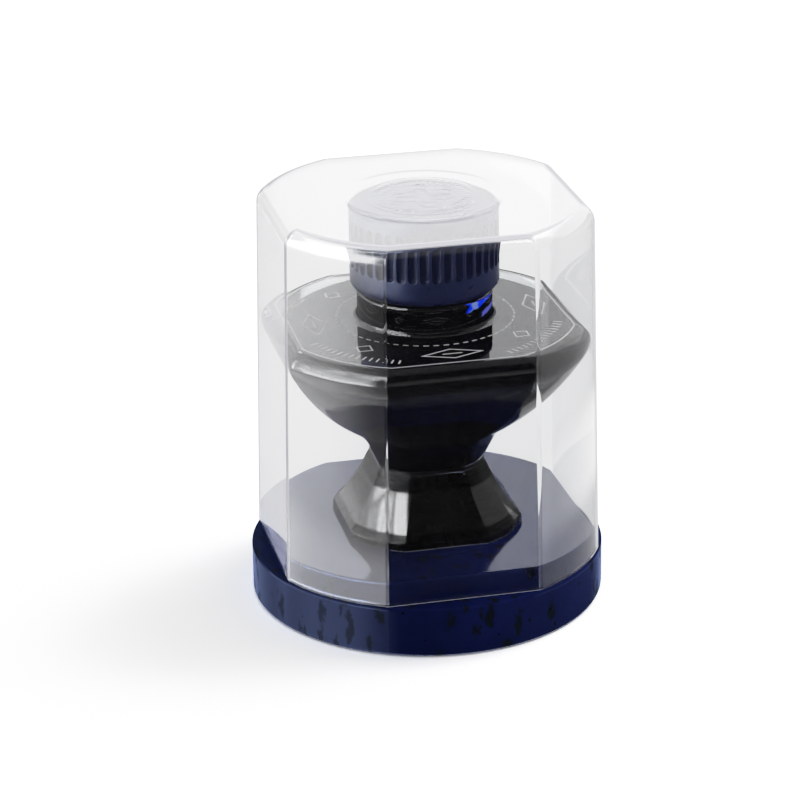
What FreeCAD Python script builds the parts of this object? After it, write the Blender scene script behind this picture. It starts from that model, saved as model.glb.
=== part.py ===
"""Ink bottle in a clear display case.

A pedestal-footed glass bottle, filled with ink and closed by a fluted screw cap, stands on
the raised plinth of a round base. A clear moulded cover fits over the plinth and rests on
the ledge around it. Plinth, cover, bowl and foot share one plan: a circle cut by four flats.

Millimetres, +Z up, origin at the centre of the face that rests on the table. The four flats
face -Y, +X, +Y and -X.
"""
import FreeCAD, Part
import os
import Sketcher

os.makedirs("parts", exist_ok=True)
doc = FreeCAD.newDocument("ink_bottle")
sheet = doc.addObject("Spreadsheet::Sheet", "Sizes")

FLATS = 4
FULL_TURN = 360.0
ON_AXIS = 1e-9  # mm, a value this small lies on the axis
SAME_POINT = 1e-4  # mm, how near two ends of an edge count as one
LEAST_CUT = 1.0  # mm3, a cut that takes less has missed the solid
CM3 = 1000.0  # mm3

# Driving dimensions: alias, value, what it measures
SIZES = [
    ("flat_half_angle", 25.7, "half the angle that a flat takes out of the circle, degrees"),
    ("seat_gap", 0.3, "base rim above the table, as the pad stands proud"),
    ("base_margin", 0.2, "round base beyond the lower rim of the cover"),
    ("base_height", 11.5, "table to the ledge that carries the cover"),
    ("base_round", 0.9, "rounded edges of the base"),
    ("pad_margin", 6.2, "edge of the base to the non-slip pad"),
    ("pad_thickness", 1.5, "non-slip pad"),
    ("plinth_height", 5.2, "raised plinth above the ledge"),
    ("plinth_chamfer", 0.5, "top edge of the plinth"),
    ("draft_slope", 0.022, "draft of cover and plinth, radius lost per mm of height"),
    ("case_radius", 39.0, "outside of the cover at its lower rim"),
    ("cap_headroom", 1.2, "top of the cap to the cover"),
    ("case_wall", 1.1, "side wall of the cover"),
    ("case_top_wall", 1.2, "top wall of the cover"),
    ("case_shoulder", 3.6, "rounded shoulder of the cover"),
    ("case_fit", 0.15, "gap between plinth and cover"),
    ("medallion_radius", 18.1, "raised disc on the top of the cover"),
    ("medallion_height", 0.45, "raised disc on the top of the cover"),
    ("foot_radius", 21.6, "foot of the bottle"),
    ("foot_round", 0.6, "lower edge of the foot"),
    ("foot_edge", 1.6, "height of the upright edge of the foot"),
    ("flare_hollow", 0.9, "how far the flare of the foot curves in from straight"),
    ("waist_radius", 13.0, "narrowest part of the stem"),
    ("waist_height", 15.0, "plinth to the waist"),
    ("stem_flare", 3.9, "stem where it meets the bowl, beyond the waist"),
    ("stem_height", 22.8, "plinth to the root of the bowl"),
    ("bowl_clearance", 0.5, "widest part of the bowl to the wall of the cover"),
    ("bowl_height", 44.1, "plinth to the widest part of the bowl"),
    ("bowl_turn", 6.0, "radius of the turn under the rim"),
    ("bowl_turn_angle", 30.0, "angle of the turn under the rim, degrees"),
    ("bowl_belly", 1.8, "how far the side of the bowl curves out from straight"),
    ("rim_round", 3.2, "rounded rim between the bowl's side and its top face"),
    ("collar_step", 1.5, "plain collar below the cap, beyond the neck inside the cap"),
    ("collar_height", 6.6, "top face of the bowl to the collar's upper edge"),
    ("collar_fillet", 2.8, "collar to the top face"),
    ("finish_radius", 13.2, "neck inside the cap, at the root of its thread"),
    ("finish_height", 15.2, "collar to the sealing lip"),
    ("finish_wall", 3.6, "glass around the bore of the neck"),
    ("lip_round", 0.7, "outer edge of the sealing lip"),
    ("glass_wall", 2.2, "glass at the flats and under the top face"),
    ("stem_wall", 4.4, "glass between the waist's flats and the ink well"),
    ("well_floor", 14.3, "plinth to the bottom of the ink well"),
    ("ink_depth_in_neck", 6.4, "ink surface above the bowl's top face"),
    ("cap_wall", 2.15, "cap from its bore to its ribs"),
    ("cap_gap", 0.5, "collar to the lower rim of the cap"),
    ("thread_depth", 0.85, "root of the neck's thread to the bore of the cap"),
    ("cap_top_wall", 1.9, "top of the cap"),
    ("cap_lower_round", 2.0, "lower edge of the cap"),
    ("cap_upper_round", 1.0, "upper edge of the cap"),
    ("liner_thickness", 1.1, "sealing liner"),
    ("liner_fit", 0.1, "gap between liner and cap wall"),
    ("flute_count", 40, "flutes around the cap"),
    ("flute_radius", 1.25, "rounded bottom of a flute"),
    ("flute_depth", 0.5, "depth of a flute"),
    ("flute_start", 5.2, "lower rim of the cap to the flutes"),
    ("flute_end", 2.4, "top of the cap to the flutes"),
]

# Levels and radii that follow from the driving dimensions
DERIVED = [
    ("flat_ratio", "cos(flat_half_angle * 1deg)"),
    ("half_turn_share", "sin(45deg)"),
    ("turn_sine", "sin(bowl_turn_angle * 1deg)"),
    ("turn_cosine", "cos(bowl_turn_angle * 1deg)"),
    ("half_turn_sine", "sin(bowl_turn_angle * 0.5deg)"),
    ("half_turn_cosine", "cos(bowl_turn_angle * 0.5deg)"),
    # base, from the cover that stands on it
    ("base_radius", "case_radius + base_margin"),
    ("far_reach", "base_radius / 2"),
    ("far_radius", "base_radius + far_reach"),
    ("pad_radius", "base_radius - pad_margin"),
    ("recess_top", "pad_thickness"),
    ("plinth_top", "base_height + plinth_height"),
    ("plinth_radius", "case_radius - case_wall - case_fit"),
    # levels of the bottle, from the plinth up
    ("waist_level", "plinth_top + waist_height"),
    ("bowl_level", "plinth_top + bowl_height"),
    ("bowl_top", "bowl_level + rim_round"),
    ("collar_top", "bowl_top + collar_height"),
    ("lip_level", "collar_top + finish_height"),
    ("ink_level", "bowl_top + ink_depth_in_neck"),
    # cap and liner, around the neck
    ("cap_bottom", "collar_top + cap_gap"),
    ("liner_top", "lip_level + liner_thickness"),
    ("cap_top", "liner_top + cap_top_wall"),
    ("cap_bore", "finish_radius + thread_depth"),
    ("cap_radius", "cap_bore + cap_wall"),
    ("liner_radius", "cap_bore - liner_fit"),
    ("flute_axis", "cap_radius + flute_radius - flute_depth"),
    # cover, over the cap
    ("inner_top", "cap_top + cap_headroom"),
    ("case_top", "inner_top + case_top_wall"),
    ("case_height", "case_top - base_height"),
    ("shoulder_level", "case_top - case_shoulder"),
    ("case_side_slope", "draft_slope * (case_height - case_shoulder)"),
    ("inner_shoulder", "case_shoulder - case_wall"),
    # radii of the bottle, inside the cover
    ("bowl_radius",
     "case_radius - case_wall - draft_slope * (bowl_level - base_height) - bowl_clearance"),
    ("cavity_radius", "bowl_radius * flat_ratio - glass_wall"),
    ("stem_radius", "waist_radius + stem_flare"),
    ("well_radius", "waist_radius * flat_ratio - stem_wall"),
    ("collar_radius", "finish_radius + collar_step"),
    ("mouth_radius", "finish_radius - finish_wall"),
]

# Corner points of the outlines: name, distance from the axis, height. An arc runs through
# the point whose name ends in _arc.
POINTS = [
    # base and plinth
    ("recess_centre", "0", "recess_top"),
    ("recess_corner", "pad_radius", "recess_top"),
    ("recess_rim", "pad_radius", "seat_gap"),
    ("base_lower", "base_radius - base_round", "seat_gap"),
    ("base_lower_arc", "base_radius - base_round * (1 - half_turn_share)",
     "seat_gap + base_round * (1 - half_turn_share)"),
    ("base_side", "base_radius", "seat_gap + base_round"),
    ("base_shoulder", "base_radius", "base_height - base_round"),
    ("base_upper_arc", "base_radius - base_round * (1 - half_turn_share)",
     "base_height - base_round * (1 - half_turn_share)"),
    ("base_upper", "base_radius - base_round", "base_height"),
    ("plinth_foot", "plinth_radius", "base_height"),
    ("plinth_side", "plinth_radius - draft_slope * (plinth_height - plinth_chamfer)",
     "plinth_top - plinth_chamfer"),
    ("plinth_edge", "plinth_radius - draft_slope * plinth_height - plinth_chamfer", "plinth_top"),
    ("plinth_centre", "0", "plinth_top"),
    # where the cutting outlines of the flats close, clear of every solid
    ("far_ledge", "far_radius", "base_height"),
    ("far_plinth", "far_radius", "plinth_top + far_reach"),
    ("far_rim", "far_radius", "base_height - far_reach"),
    ("far_case", "far_radius", "case_top + far_reach"),
    ("far_foot", "far_radius", "plinth_top - far_reach"),
    ("far_bowl", "far_radius", "bowl_top + far_reach"),
    # cover, outside
    ("case_floor", "0", "base_height"),
    ("case_rim", "case_radius", "base_height"),
    ("case_side", "case_radius - case_side_slope", "shoulder_level"),
    ("case_shoulder_arc",
     "case_radius - case_side_slope - case_shoulder * (1 - half_turn_share)",
     "case_top - case_shoulder * (1 - half_turn_share)"),
    ("case_edge", "case_radius - case_side_slope - case_shoulder", "case_top"),
    ("medallion_foot", "medallion_radius", "case_top"),
    ("medallion_edge", "medallion_radius - medallion_height", "case_top + medallion_height"),
    ("medallion_centre", "0", "case_top + medallion_height"),
    # cover, inside
    ("inner_floor", "0", "base_height"),
    ("inner_rim", "case_radius - case_wall", "base_height"),
    ("inner_side", "case_radius - case_side_slope - case_wall", "inner_top - inner_shoulder"),
    ("inner_shoulder_arc",
     "case_radius - case_side_slope - case_wall - inner_shoulder * (1 - half_turn_share)",
     "inner_top - inner_shoulder * (1 - half_turn_share)"),
    ("inner_edge", "case_radius - case_side_slope - case_wall - inner_shoulder", "inner_top"),
    ("inner_centre", "0", "inner_top"),
    # bottle, outside
    ("foot_centre", "0", "plinth_top"),
    ("foot_lower", "foot_radius - foot_round", "plinth_top"),
    ("foot_side", "foot_radius", "plinth_top + foot_round"),
    ("foot_upper", "foot_radius", "plinth_top + foot_edge"),
    ("flare_arc", "(foot_radius + waist_radius) / 2 - flare_hollow",
     "plinth_top + (foot_edge + waist_height) / 2"),
    ("waist", "waist_radius", "waist_level"),
    ("stem", "stem_radius", "plinth_top + stem_height"),
    ("bowl_belly_arc",
     "(stem_radius + bowl_radius - bowl_turn * (1 - turn_cosine) + bowl_belly * sqrt(2)) / 2",
     "(plinth_top + stem_height + bowl_level - bowl_turn * turn_sine - bowl_belly * sqrt(2)) / 2"),
    ("bowl_side", "bowl_radius - bowl_turn * (1 - turn_cosine)",
     "bowl_level - bowl_turn * turn_sine"),
    ("bowl_turn_arc", "bowl_radius - bowl_turn * (1 - half_turn_cosine)",
     "bowl_level - bowl_turn * half_turn_sine"),
    ("bowl_rim", "bowl_radius", "bowl_level"),
    ("rim_arc", "bowl_radius - rim_round * (1 - half_turn_share)",
     "bowl_level + rim_round * half_turn_share"),
    ("rim_edge", "bowl_radius - rim_round", "bowl_top"),
    ("collar_foot", "collar_radius + collar_fillet", "bowl_top"),
    ("collar_arc", "collar_radius + collar_fillet * (1 - half_turn_share)",
     "bowl_top + collar_fillet * (1 - half_turn_share)"),
    ("collar_side", "collar_radius", "bowl_top + collar_fillet"),
    ("collar_edge", "collar_radius", "collar_top - lip_round"),
    ("collar_shelf", "collar_radius - lip_round", "collar_top"),
    ("finish_foot", "finish_radius", "collar_top"),
    ("finish_side", "finish_radius", "lip_level - lip_round"),
    ("lip_arc", "finish_radius - lip_round * (1 - half_turn_share)",
     "lip_level - lip_round * (1 - half_turn_share)"),
    ("lip_edge", "finish_radius - lip_round", "lip_level"),
    ("lip_centre", "0", "lip_level"),
    # ink chamber inside the bottle
    ("well_bottom", "0", "plinth_top + well_floor"),
    ("well_floor_edge", "well_radius - glass_wall", "plinth_top + well_floor"),
    ("well_floor_arc", "well_radius - glass_wall * (1 - half_turn_share)",
     "plinth_top + well_floor + glass_wall * (1 - half_turn_share)"),
    ("well_side", "well_radius", "plinth_top + well_floor + glass_wall"),
    ("chamber_root", "stem_radius * flat_ratio - glass_wall", "plinth_top + stem_height + glass_wall / 2"),
    ("chamber_side", "cavity_radius - bowl_turn * (1 - turn_cosine)",
     "bowl_level - bowl_turn * turn_sine"),
    ("chamber_turn_arc", "cavity_radius - bowl_turn * (1 - half_turn_cosine)",
     "bowl_level - bowl_turn * half_turn_sine"),
    ("chamber_rim", "cavity_radius", "bowl_level"),
    ("chamber_roof_edge", "cavity_radius - glass_wall / 2", "bowl_top - glass_wall"),
    ("chamber_throat", "mouth_radius + glass_wall", "bowl_top - glass_wall"),
    ("chamber_throat_arc", "mouth_radius + glass_wall * (1 - half_turn_share)",
     "bowl_top - glass_wall * half_turn_share"),
    ("throat_side", "mouth_radius", "bowl_top"),
    ("mouth_edge", "mouth_radius", "lip_level"),
    ("ink_edge", "mouth_radius", "ink_level"),
    ("ink_centre", "0", "ink_level"),
    # cap and liner
    ("cap_inner_rim", "cap_bore", "cap_bottom"),
    ("cap_lower", "cap_radius - cap_lower_round", "cap_bottom"),
    ("cap_lower_arc", "cap_radius - cap_lower_round * (1 - half_turn_share)",
     "cap_bottom + cap_lower_round * (1 - half_turn_share)"),
    ("cap_side", "cap_radius", "cap_bottom + cap_lower_round"),
    ("cap_shoulder", "cap_radius", "cap_top - cap_upper_round"),
    ("cap_upper_arc", "cap_radius - cap_upper_round * (1 - half_turn_share)",
     "cap_top - cap_upper_round * (1 - half_turn_share)"),
    ("cap_upper", "cap_radius - cap_upper_round", "cap_top"),
    ("cap_top_centre", "0", "cap_top"),
    ("cap_ceiling_centre", "0", "liner_top"),
    ("cap_ceiling_corner", "cap_bore", "liner_top"),
    ("flute_foot", "flute_axis", "cap_bottom + flute_start"),
    ("flute_foot_arc", "flute_axis - flute_radius * half_turn_share",
     "cap_bottom + flute_start + flute_radius * (1 - half_turn_share)"),
    ("flute_lower", "flute_axis - flute_radius", "cap_bottom + flute_start + flute_radius"),
    ("flute_upper", "flute_axis - flute_radius", "cap_top - flute_end - flute_radius"),
    ("flute_head_arc", "flute_axis - flute_radius * half_turn_share",
     "cap_top - flute_end - flute_radius * (1 - half_turn_share)"),
    ("flute_head", "flute_axis", "cap_top - flute_end"),
]


def fill_sheet():
    """Writes the driving dimensions, what follows from them and the outline points."""
    row = 0
    for alias, value, meaning in SIZES:
        row += 1
        sheet.set(f"A{row}", alias)
        sheet.set(f"B{row}", str(value))
        sheet.setAlias(f"B{row}", alias)
        sheet.set(f"C{row}", meaning)
    formulas = list(DERIVED)
    for name, across, up in POINTS:
        formulas.append((f"{name}_x", across))
        formulas.append((f"{name}_flat", f"({across}) * flat_ratio"))
        formulas.append((f"{name}_z", up))
    for alias, formula in formulas:
        row += 1
        sheet.set(f"A{row}", alias)
        sheet.set(f"B{row}", f"={formula}")
        sheet.setAlias(f"B{row}", alias)
    doc.recompute()


def size(alias):
    """The present value of a cell of the sheet."""
    return float(getattr(sheet, alias))


def plane(body, role):
    """The origin plane or axis of a body that has this role."""
    return next(item for item in body.Origin.OriginFeatures if item.Role == role)


def make_body(label):
    """An empty body whose label names the sub-part."""
    body = doc.addObject("PartDesign::Body", f"{label}_body")
    body.Label = label
    return body


def pin(sketch, geometry, end, across, up):
    """Holds one point of a sketch at the two named cells of the sheet."""
    for kind, axis, alias in (("DistanceX", -2, across), ("DistanceY", -1, up)):
        if abs(size(alias)) < ON_AXIS:
            sketch.addConstraint(Sketcher.Constraint("PointOnObject", geometry, end, axis))
            continue
        index = sketch.addConstraint(Sketcher.Constraint(kind, -1, 1, geometry, end, size(alias)))
        sketch.setExpression(f"Constraints[{index}]", f"Sizes.{alias}")


def outline(body, name, path, column="x"):
    """A closed outline in the body's XZ plane. path lists point names in order. A pair
    (through, end) is an arc. column picks the round outline, x, or that of a flat, flat."""
    sketch = body.newObject("Sketcher::SketchObject", name)
    sketch.AttachmentSupport = (plane(body, "XZ_Plane"), [""])
    sketch.MapMode = "FlatFace"

    def place(point):
        return FreeCAD.Vector(size(f"{point}_{column}"), size(f"{point}_z"), 0)

    ends = [step[1] if isinstance(step, tuple) else step for step in path]
    edges = []
    for index, end in enumerate(ends):
        start = ends[index - 1]
        step = path[index]
        if isinstance(step, tuple):
            arc = Part.Arc(place(start), place(step[0]), place(end))
            edge = sketch.addGeometry(arc, False)
            # an arc of a sketch always runs anticlockwise, so its ends may be swapped
            swapped = sketch.getPoint(edge, 1).distanceToPoint(place(start)) > SAME_POINT
            marker = sketch.addGeometry(Part.Point(place(step[0])), True)
            sketch.addConstraint(Sketcher.Constraint("PointOnObject", marker, 1, edge))
            pin(sketch, marker, 1, f"{step[0]}_{column}", f"{step[0]}_z")
        else:
            edge = sketch.addGeometry(Part.LineSegment(place(start), place(end)), False)
            swapped = False
        edges.append((edge, swapped))
    for index, (edge, swapped) in enumerate(edges):
        finish = 1 if swapped else 2
        following, turned = edges[(index + 1) % len(edges)]
        begin = 2 if turned else 1
        sketch.addConstraint(Sketcher.Constraint("Coincident", edge, finish, following, begin))
        pin(sketch, edge, finish, f"{ends[index]}_{column}", f"{ends[index]}_z")
    return sketch


def revolve(body, name, path):
    """Turns a closed outline once around Z and adds it to the body."""
    feature = body.newObject("PartDesign::Revolution", name)
    feature.Profile = outline(body, f"{name}_outline", path)
    feature.ReferenceAxis = (plane(body, "Z_Axis"), [""])
    feature.Angle = FULL_TURN
    doc.recompute()
    return feature


def groove(body, name, path):
    """Turns a closed outline once around Z and cuts it out of the body."""
    feature = body.newObject("PartDesign::Groove", name)
    feature.Profile = outline(body, f"{name}_outline", path)
    feature.ReferenceAxis = (plane(body, "Z_Axis"), [""])
    feature.Angle = FULL_TURN
    before = body.Shape.Volume
    doc.recompute()
    assert body.Shape.Volume < before - LEAST_CUT, f"{name} cuts nothing"
    return feature


def polar(body, feature, count_alias=None, count=FLATS):
    """Repeats a feature evenly around Z."""
    pattern = body.newObject("PartDesign::PolarPattern", f"{feature.Name}_ring")
    pattern.Originals = [feature]
    pattern.Axis = (plane(body, "Z_Axis"), [""])
    pattern.Angle = FULL_TURN
    pattern.Occurrences = count
    if count_alias:
        pattern.setExpression("Occurrences", f"Sizes.{count_alias}")
    body.Tip = pattern
    doc.recompute()
    return pattern


def cut_flats(body, name, path):
    """Cuts the four flats. path is the part of the outline that the flats follow, closed clear
    of the solid: a flat is the round outline drawn in by flat_ratio, so that flats and rounds
    keep their share of the plan at every height."""
    pocket = body.newObject("PartDesign::Pocket", name)
    pocket.Profile = outline(body, f"{name}_outline", path, "flat")
    pocket.SideType = "Symmetric"
    pocket.setExpression("Length", "4 * Sizes.far_radius")
    before = body.Shape.Volume
    doc.recompute()
    assert body.Shape.Volume < before - LEAST_CUT, f"{name} cuts nothing"
    return polar(body, pocket)


def build_base():
    """Round base with a raised plinth on top and a recess for the pad underneath."""
    body = make_body("base")
    revolve(body, "base_turning", [
        "recess_centre", "recess_corner", "recess_rim", "base_lower",
        ("base_lower_arc", "base_side"), "base_shoulder", ("base_upper_arc", "base_upper"),
        "plinth_foot", "plinth_side", "plinth_edge", "plinth_centre",
    ])
    cut_flats(body, "plinth_flat", [
        "plinth_foot", "plinth_side", "plinth_edge", "far_plinth", "far_ledge",
    ])
    return body


def build_pad():
    """Non-slip disc that fills the recess and stands proud of the base's rim."""
    body = make_body("base_pad")
    sketch = body.newObject("Sketcher::SketchObject", "pad_circle")
    sketch.AttachmentSupport = (plane(body, "XY_Plane"), [""])
    sketch.MapMode = "FlatFace"
    circle = Part.Circle(FreeCAD.Vector(), FreeCAD.Vector(0, 0, 1), size("pad_radius"))
    edge = sketch.addGeometry(circle, False)
    sketch.addConstraint(Sketcher.Constraint("Coincident", edge, 3, -1, 1))
    radius = sketch.addConstraint(Sketcher.Constraint("Radius", edge, size("pad_radius")))
    sketch.setExpression(f"Constraints[{radius}]", "Sizes.pad_radius")
    disc = body.newObject("PartDesign::Pad", "pad_disc")
    disc.Profile = sketch
    disc.setExpression("Length", "Sizes.pad_thickness")
    doc.recompute()
    return body


def build_cover():
    """Clear moulded cover: the drafted outer form less the drafted inner form, which leaves
    an even wall, open at the foot, with a raised disc on its top."""
    outside = make_body("cover_outside")
    revolve(outside, "cover_form", [
        "case_floor", "case_rim", "case_side", ("case_shoulder_arc", "case_edge"),
        "medallion_foot", "medallion_edge", "medallion_centre",
    ])
    cut_flats(outside, "cover_flat", [
        "case_rim", "case_side", ("case_shoulder_arc", "case_edge"), "far_case", "far_rim",
    ])
    inside = make_body("cover_inside")
    revolve(inside, "cavity_form", [
        "inner_floor", "inner_rim", "inner_side", ("inner_shoulder_arc", "inner_edge"),
        "inner_centre",
    ])
    cut_flats(inside, "cavity_flat", [
        "inner_rim", "inner_side", ("inner_shoulder_arc", "inner_edge"), "far_case", "far_rim",
    ])
    cover = doc.addObject("Part::Cut", "cover_shell")
    cover.Base = outside
    cover.Tool = inside
    cover.Label = "cover"
    doc.recompute()
    return cover


def build_bottle():
    """Glass bottle: turned outline, four flats from foot to rim, and the ink chamber."""
    body = make_body("glass_bottle")
    revolve(body, "bottle_turning", [
        "foot_centre", "foot_lower", "foot_side", "foot_upper", ("flare_arc", "waist"), "stem",
        ("bowl_belly_arc", "bowl_side"), ("bowl_turn_arc", "bowl_rim"), ("rim_arc", "rim_edge"),
        "collar_foot", ("collar_arc", "collar_side"), "collar_edge", "collar_shelf",
        "finish_foot", "finish_side", ("lip_arc", "lip_edge"), "lip_centre",
    ])
    cut_flats(body, "bottle_flat", [
        "foot_lower", "foot_side", "foot_upper", ("flare_arc", "waist"), "stem",
        ("bowl_belly_arc", "bowl_side"), ("bowl_turn_arc", "bowl_rim"), ("rim_arc", "rim_edge"),
        "far_bowl", "far_foot",
    ])
    groove(body, "ink_chamber", [
        "well_bottom", "well_floor_edge", ("well_floor_arc", "well_side"), "chamber_root",
        "chamber_side", ("chamber_turn_arc", "chamber_rim"), "chamber_roof_edge",
        "chamber_throat", ("chamber_throat_arc", "throat_side"), "mouth_edge", "lip_centre",
    ])
    return body


def build_ink():
    """The ink fills the chamber up to its level in the neck."""
    body = make_body("ink")
    revolve(body, "ink_fill", [
        "well_bottom", "well_floor_edge", ("well_floor_arc", "well_side"), "chamber_root",
        "chamber_side", ("chamber_turn_arc", "chamber_rim"), "chamber_roof_edge",
        "chamber_throat", ("chamber_throat_arc", "throat_side"), "ink_edge", "ink_centre",
    ])
    return body


def build_cap():
    """Screw cap: a turned shell with round-ended flutes cut around its side."""
    body = make_body("cap_shell")
    revolve(body, "cap_turning", [
        "cap_inner_rim", "cap_lower", ("cap_lower_arc", "cap_side"), "cap_shoulder",
        ("cap_upper_arc", "cap_upper"), "cap_top_centre", "cap_ceiling_centre",
        "cap_ceiling_corner",
    ])
    flute = body.newObject("PartDesign::Groove", "flute")
    flute.Profile = outline(body, "flute_outline", [
        "flute_foot", ("flute_foot_arc", "flute_lower"), "flute_upper",
        ("flute_head_arc", "flute_head"),
    ])
    flute.ReferenceAxis = (flute.Profile[0], ["Edge1"])
    flute.Angle = FULL_TURN
    before = body.Shape.Volume
    doc.recompute()
    assert body.Shape.Volume < before - LEAST_CUT, "the flute cuts nothing"
    polar(body, flute, "flute_count", int(size("flute_count")))
    return body


def build_liner():
    """Sealing disc between the bottle's lip and the cap."""
    liner = doc.addObject("Part::Cylinder", "cap_liner_disc")
    liner.Label = "cap_liner"
    liner.setExpression("Radius", "Sizes.liner_radius")
    liner.setExpression("Height", "Sizes.liner_thickness")
    liner.setExpression("Placement.Base.z", "Sizes.lip_level")
    doc.recompute()
    return liner


fill_sheet()
parts = [
    build_base(), build_pad(), build_cover(), build_bottle(), build_ink(), build_cap(),
    build_liner(),
]
doc.recompute()

for item in doc.Objects:
    if {"Invalid", "Error"} & set(item.State):
        raise RuntimeError(f"{item.Name} failed: {item.State}")
for part in parts:
    if part.Shape.isNull() or not part.Shape.isValid() or len(part.Shape.Solids) != 1:
        raise RuntimeError(f"{part.Label} is not one valid solid")
for part in parts:
    part.Shape.exportStep(f"parts/{part.Label}.step")
    box = part.Shape.BoundBox
    print(f"{part.Label}: {part.Shape.Volume / CM3:.2f} cm3, z {box.ZMin:.2f} to {box.ZMax:.2f}, "
          f"x {box.XMin:.2f} to {box.XMax:.2f}")
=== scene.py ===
import math

import bpy
import numpy as np
from bpy.props import FloatProperty, FloatVectorProperty, IntProperty, PointerProperty
from mathutils import Matrix, Vector


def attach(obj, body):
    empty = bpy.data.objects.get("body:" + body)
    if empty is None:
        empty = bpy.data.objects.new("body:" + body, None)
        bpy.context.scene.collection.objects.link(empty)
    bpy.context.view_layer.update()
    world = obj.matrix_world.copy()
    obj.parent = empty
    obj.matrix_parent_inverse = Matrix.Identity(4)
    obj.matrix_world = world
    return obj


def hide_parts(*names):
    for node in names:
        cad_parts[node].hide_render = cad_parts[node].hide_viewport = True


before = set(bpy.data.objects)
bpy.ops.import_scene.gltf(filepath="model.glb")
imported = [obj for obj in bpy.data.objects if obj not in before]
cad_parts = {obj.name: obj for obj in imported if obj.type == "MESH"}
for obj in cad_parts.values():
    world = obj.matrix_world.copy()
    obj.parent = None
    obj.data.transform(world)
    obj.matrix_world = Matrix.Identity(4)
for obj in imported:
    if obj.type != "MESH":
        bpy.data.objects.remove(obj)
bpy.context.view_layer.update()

bl_info = {
    "name": "Ink Bottle under a Clear Cover",
    "version": (1, 0, 0),
    "blender": (4, 5, 0),
    "location": "View3D > Sidebar > Ink Bottle",
    "description": "Pedestal ink bottle with a fluted cap, a flecked base and a clear cover",
    "category": "Add Mesh",
}

MM = 0.001
FULL = 2 * math.pi
FLATS = 4
FLAT_STEPS = 9  # steps across half a flat
CREASE_STEPS = 8  # steps around the rounded edge of a flat
ROUND_STEPS = 14  # steps along half of the round between two flats
ARC_STEPS = 8
INK_STEPS = 192
FLUTE_STEPS = 18  # steps around the cap from one flute to the next
FLOOR_STEPS = 96
SHARP = math.radians(38)  # a corner of an outline turned by more than this stays sharp
DIAGONAL = math.sqrt(0.5)


# ---------------------------------------------------------------- sizes and colours


def length(name, description, millimetres):
    """A length that can be set."""
    return FloatProperty(name=name, description=description, default=millimetres * MM,
                         unit="LENGTH")


def angle(name, description, degrees):
    """An angle that can be set."""
    return FloatProperty(name=name, description=description, default=math.radians(degrees),
                         subtype="ANGLE")


def number(name, description, default):
    """A plain number that can be set."""
    return FloatProperty(name=name, description=description, default=default)


def count(name, description, default):
    """A number of copies that can be set."""
    return IntProperty(name=name, description=description, default=default, min=1)


def colour(name, description, default):
    """A colour that can be set."""
    return FloatVectorProperty(name=name, description=description, default=default,
                               subtype="COLOR", size=3)


class PlanSettings(bpy.types.PropertyGroup):
    """The plan that base, cover, bowl and foot share."""

    half_angle: angle("Flat Half Angle", "Half the angle of a flat, seen from the axis", 25.7)
    draft: number("Draft", "Radius lost per unit of height on cover and plinth", 0.022)


class BaseSettings(bpy.types.PropertyGroup):
    """Sizes and colours of the round base."""

    radius: length("Radius", "Round base", 39.2)
    seat: length("Seat", "Lower rim above the table", 0.3)
    ledge: length("Ledge", "Height of the ledge under the cover", 11.5)
    edge: length("Edge", "Radius of the rounded edges", 0.8)
    pad_radius: length("Pad Radius", "Recess for the non-slip pad", 33.0)
    pad_depth: length("Pad Depth", "Top of the recess for the pad", 1.5)
    plinth_radius: length("Plinth Radius", "Plinth at the ledge", 37.75)
    plinth_top: length("Plinth Top", "Height of the plinth's top face", 16.7)
    plinth_edge: length("Plinth Edge", "Rounded top edge of the plinth", 0.5)
    crease: length("Crease", "Rounding of the plinth's upright edges", 0.7)
    navy: colour("Navy", "Colour of the base", (0.0042, 0.0068, 0.042))
    fleck: colour("Fleck", "Colour of the blotches in the base", (0.0044, 0.0058, 0.0096))
    halo: colour("Halo", "Colour around the blotches", (0.004, 0.006, 0.022))
    speck: colour("Speck", "Colour of the small specks", (0.002, 0.0022, 0.004))
    # Painted shade: shade is the dark colour painted where the base is seen through the bottle
    # that stands on it.
    shade: colour("Shade", "Colour as seen through the bottle", (0.0030, 0.0026, 0.0034))
    shine: colour("Shine", "Tint of what the sides mirror", (0.42, 0.54, 1.0))
    top_shine: colour("Top Shine", "Tint of what the plinth's top mirrors", (0.80, 0.82, 0.93))


class CoverSettings(bpy.types.PropertyGroup):
    """Sizes of the clear cover."""

    radius: length("Radius", "Outside at the lower rim", 39.0)
    rim: length("Rim", "Height of the lower rim", 11.5)
    top: length("Top", "Height of the top face", 91.2)
    wall: length("Wall", "Side wall", 1.1)
    top_wall: length("Top Wall", "Top wall", 1.2)
    shoulder: length("Shoulder", "Rounding of the shoulder", 3.6)
    outer_crease: length("Outer Crease", "Rounding of the upright edges, outside", 2.6)
    inner_crease: length("Inner Crease", "Rounding of the upright edges, inside", 0.6)
    rim_cut: length("Rim Cut", "Frosted edge of the lower rim", 0.24)
    disc_radius: length("Disc Radius", "Raised disc on the top", 18.1)
    disc_height: length("Disc Height", "Raised disc on the top", 0.1)
    disc_slope: length("Disc Slope", "Width of the disc's soft edge", 2.4)
    relief: length("Relief", "Height of the ring, bars and petals on the disc", 0.03)
    ring_radius: length("Ring Radius", "Raised ring on the disc", 11.6)
    ring_width: length("Ring Width", "Half the width of the ring", 0.35)
    bar_radius: length("Bar Radius", "Middle of the raised bars", 9.7)
    bar_length: length("Bar Length", "Half the length of a bar", 0.9)
    bars: count("Bars", "Bars in the ring of the disc", 40)
    petal_radius: length("Petal Radius", "Middle of the petals' outline", 4.6)
    petal_reach: length("Petal Reach", "How far a petal reaches out of its middle", 1.9)
    petal_width: length("Petal Width", "Half the width of the petals' outline", 0.4)
    petals: count("Petals", "Petals in the middle of the disc", 4)


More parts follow.
